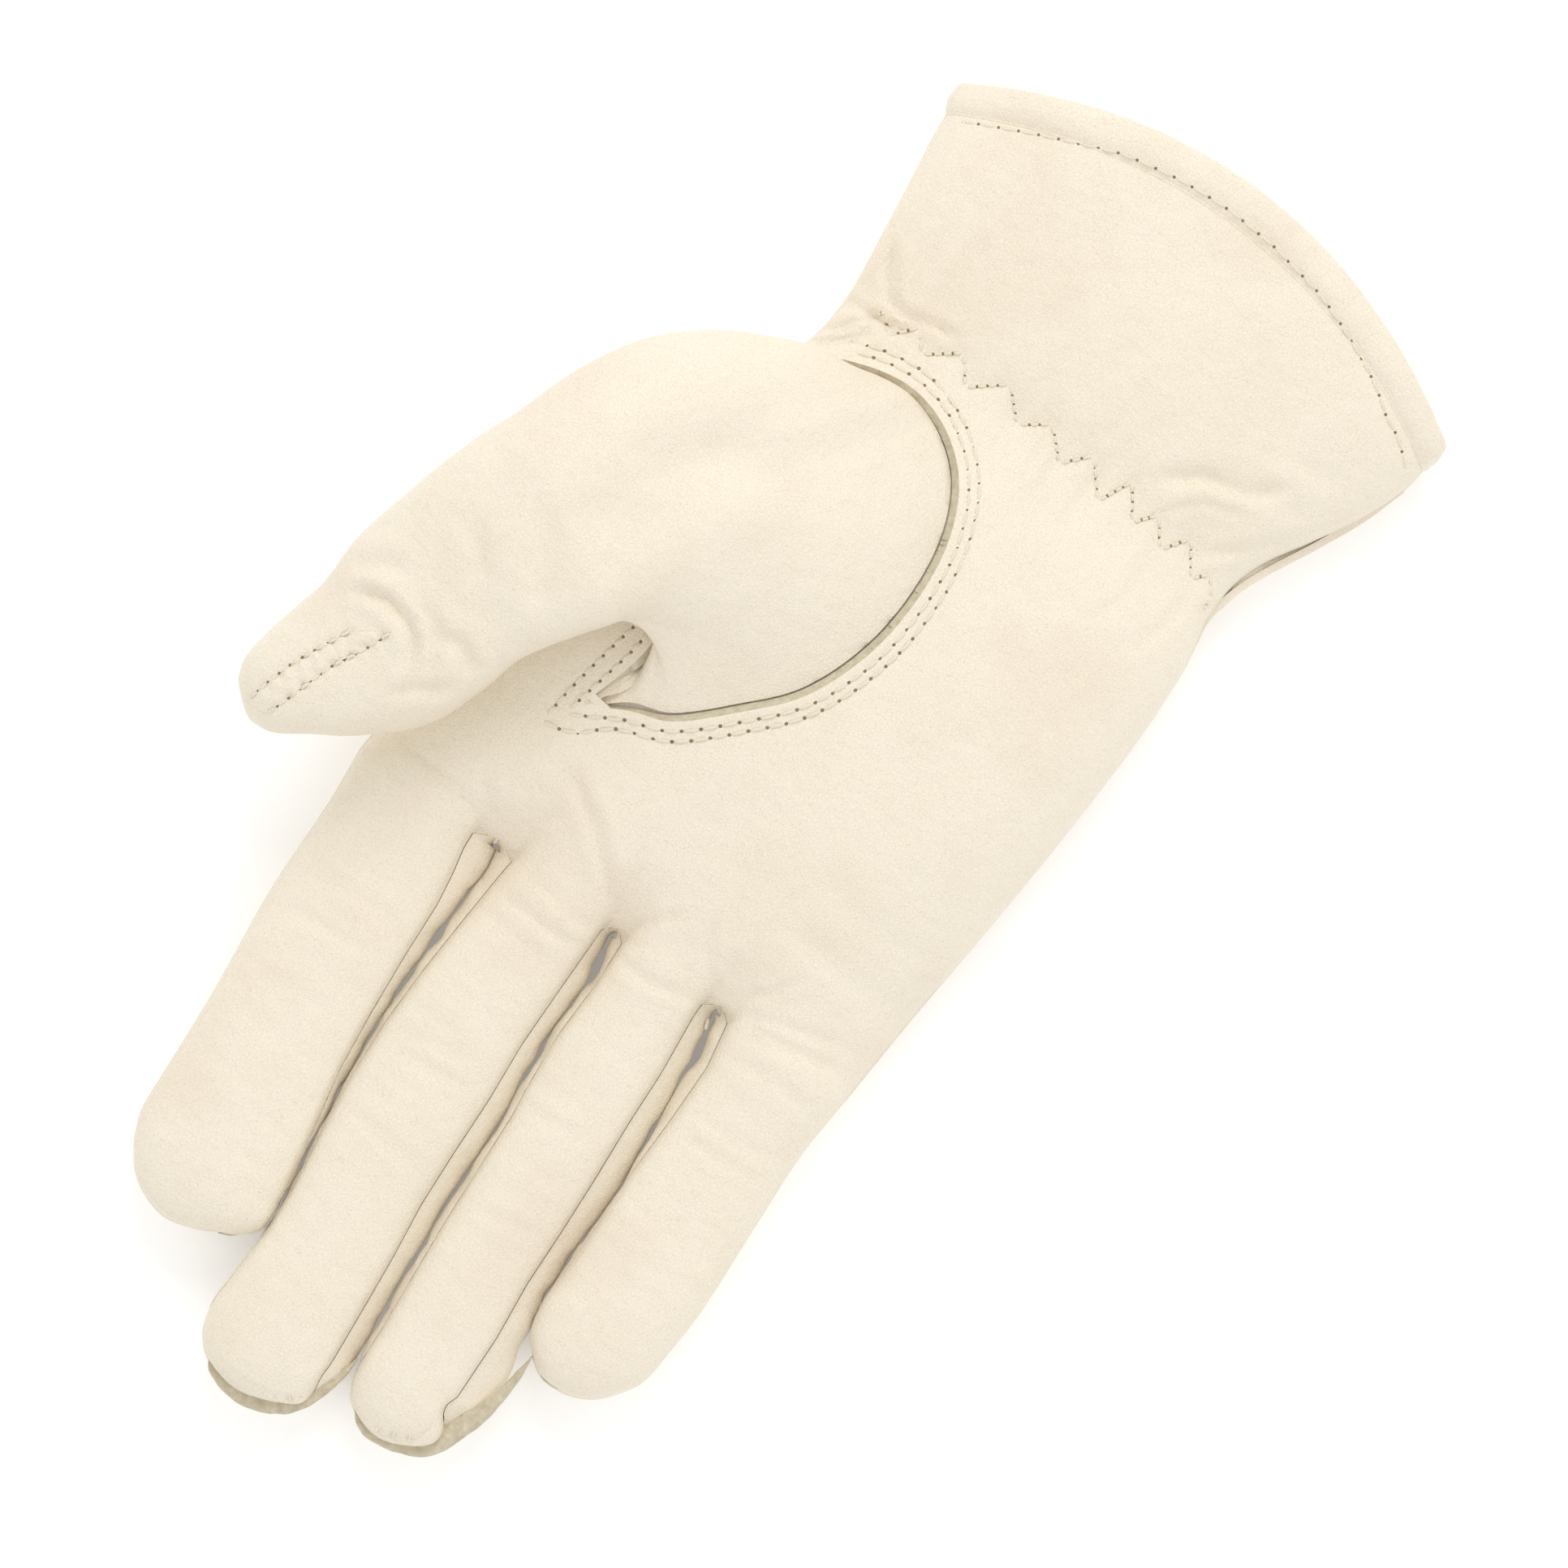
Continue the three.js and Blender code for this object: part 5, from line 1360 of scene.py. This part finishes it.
def plain_material(name, light, dark, size, rough, depth):
    """Leather's cut edge or flesh side, and the like: two tones, fibres and no gloss."""
    plain = Surface(name)
    fibres = plain.noise(4.0, 4, 0.7)
    return plain.shade({
        "Base Color": plain.ramp(plain.noise(size, 4, 0.65), (0.32, linear(*dark)), (0.68, linear(*light))),
        "Normal": plain.bump(fibres, 0.5, depth),
        "Roughness": plain.spread(fibres, rough - 0.08, rough + 0.08),
        "Sheen Weight": 0.1,
    })


def thread_material():
    thread = Surface("cream_thread")
    inputs = {"Vector": thread.vector, "Scale": 1.6, "Distortion": 1.2}
    twist = thread.add("ShaderNodeTexWave", inputs, bands_direction="DIAGONAL").outputs["Fac"]
    return thread.shade({
        "Base Color": thread.ramp(twist, (0.2, linear(226, 214, 190)), (0.7, linear(247, 239, 222))),
        "Normal": thread.bump(twist, 0.6, 0.00008),
        "Roughness": 0.55, "Sheen Weight": 0.2,
    })


LEATHER = leather_material()
FLESH = plain_material("suede_flesh_side", (196, 184, 150), (150, 138, 104), 0.5, 0.9, 0.0001)
RAW = plain_material("raw_leather_edge", (216, 206, 182), (190, 179, 152), 0.8, 0.85, 0.00014)
THREAD = thread_material()
# Needle holes: a dark brown that paints the shade inside each hole, not a colour of the leather
NEEDLE_HOLE_SHADE = plain_material("needle_hole_painted_shade", (150, 134, 98), (118, 103, 72), 1.2, 0.95, 0.00005)

build_palm()
build_back()
build_thumb()
build_thumb_strip()
for pair in zip(NAMES, NAMES[1:]):
    fourchette(*pair)
build_hem()
build_stitches()


# Floor, camera and soft studio light

def build_floor():
    mesh = bpy.data.meshes.new("floor")
    size = 3
    corners = [(-size, -size, 0), (size, -size, 0), (size, size, 0), (-size, size, 0)]
    mesh.from_pydata(corners, [], [(0, 1, 2, 3)])
    floor = bpy.data.objects.new("floor", mesh)
    bpy.context.scene.collection.objects.link(floor)
    pale = Surface("pale_floor")
    tone = pale.ramp(pale.noise(0.02, 2), (0.3, linear(252, 252, 252)), (0.7, linear(255, 255, 255)))
    mesh.materials.append(pale.shade({
        "Base Color": tone, "Roughness": 0.95, "Specular IOR Level": 0.1,
        "Emission Color": (1, 1, 1, 1), "Emission Strength": 0.14,
    }))


def area_light(name, place, size, power, colour):
    """A square lamp that looks at the glove."""
    light = bpy.data.lights.new(name, "AREA")
    light.shape = "SQUARE"
    light.size = size
    light.energy = power
    light.color = colour
    lamp = bpy.data.objects.new(name, light)
    lamp.location = place
    lamp.rotation_euler = (-Vector(place)).to_track_quat("-Z", "Y").to_euler()
    bpy.context.scene.collection.objects.link(lamp)


def build_camera():
    """A camera straight above, turned as the photo's is."""
    data = bpy.data.cameras.new("camera")
    camera = bpy.data.objects.new("camera", data)
    data.sensor_width = 36
    data.sensor_fit = "HORIZONTAL"
    data.lens = 36 * CAMERA_HEIGHT / FRAME_WIDTH
    data.clip_start = 0.01
    data.clip_end = 20
    x, y = (VIEW_CENTRE + SHIFT[:2]) / 1000
    right, up = Vector((-0.8, -0.6, 0)), Vector((0.6, -0.8, 0))
    rotation = Matrix((right, up, right.cross(up))).transposed().to_4x4()
    camera.matrix_world = Matrix.Translation((x, y, CAMERA_HEIGHT + VIEW_LEVEL)) @ rotation
    bpy.context.scene.collection.objects.link(camera)
    bpy.context.scene.camera = camera


def build_lights():
    """Even light from all round, and two soft lamps. In the camera's view the key is at the upper left."""
    world = bpy.data.worlds.new("studio")
    world.use_nodes = True
    sky = world.node_tree.nodes["Background"]
    sky.inputs["Color"].default_value = (1, 1, 1, 1)
    sky.inputs["Strength"].default_value = SKY_STRENGTH
    bpy.context.scene.world = world
    area_light("key", (0.35, -0.9, 0.9), 0.7, KEY_POWER, (1, 0.99, 0.97))
    area_light("fill", (-0.8, 0.5, 1.1), 1.0, FILL_POWER, (0.98, 0.99, 1))


build_floor()
build_camera()
build_lights()
bpy.context.scene.view_settings.view_transform = "Standard"
bpy.context.scene.view_settings.look = "None"
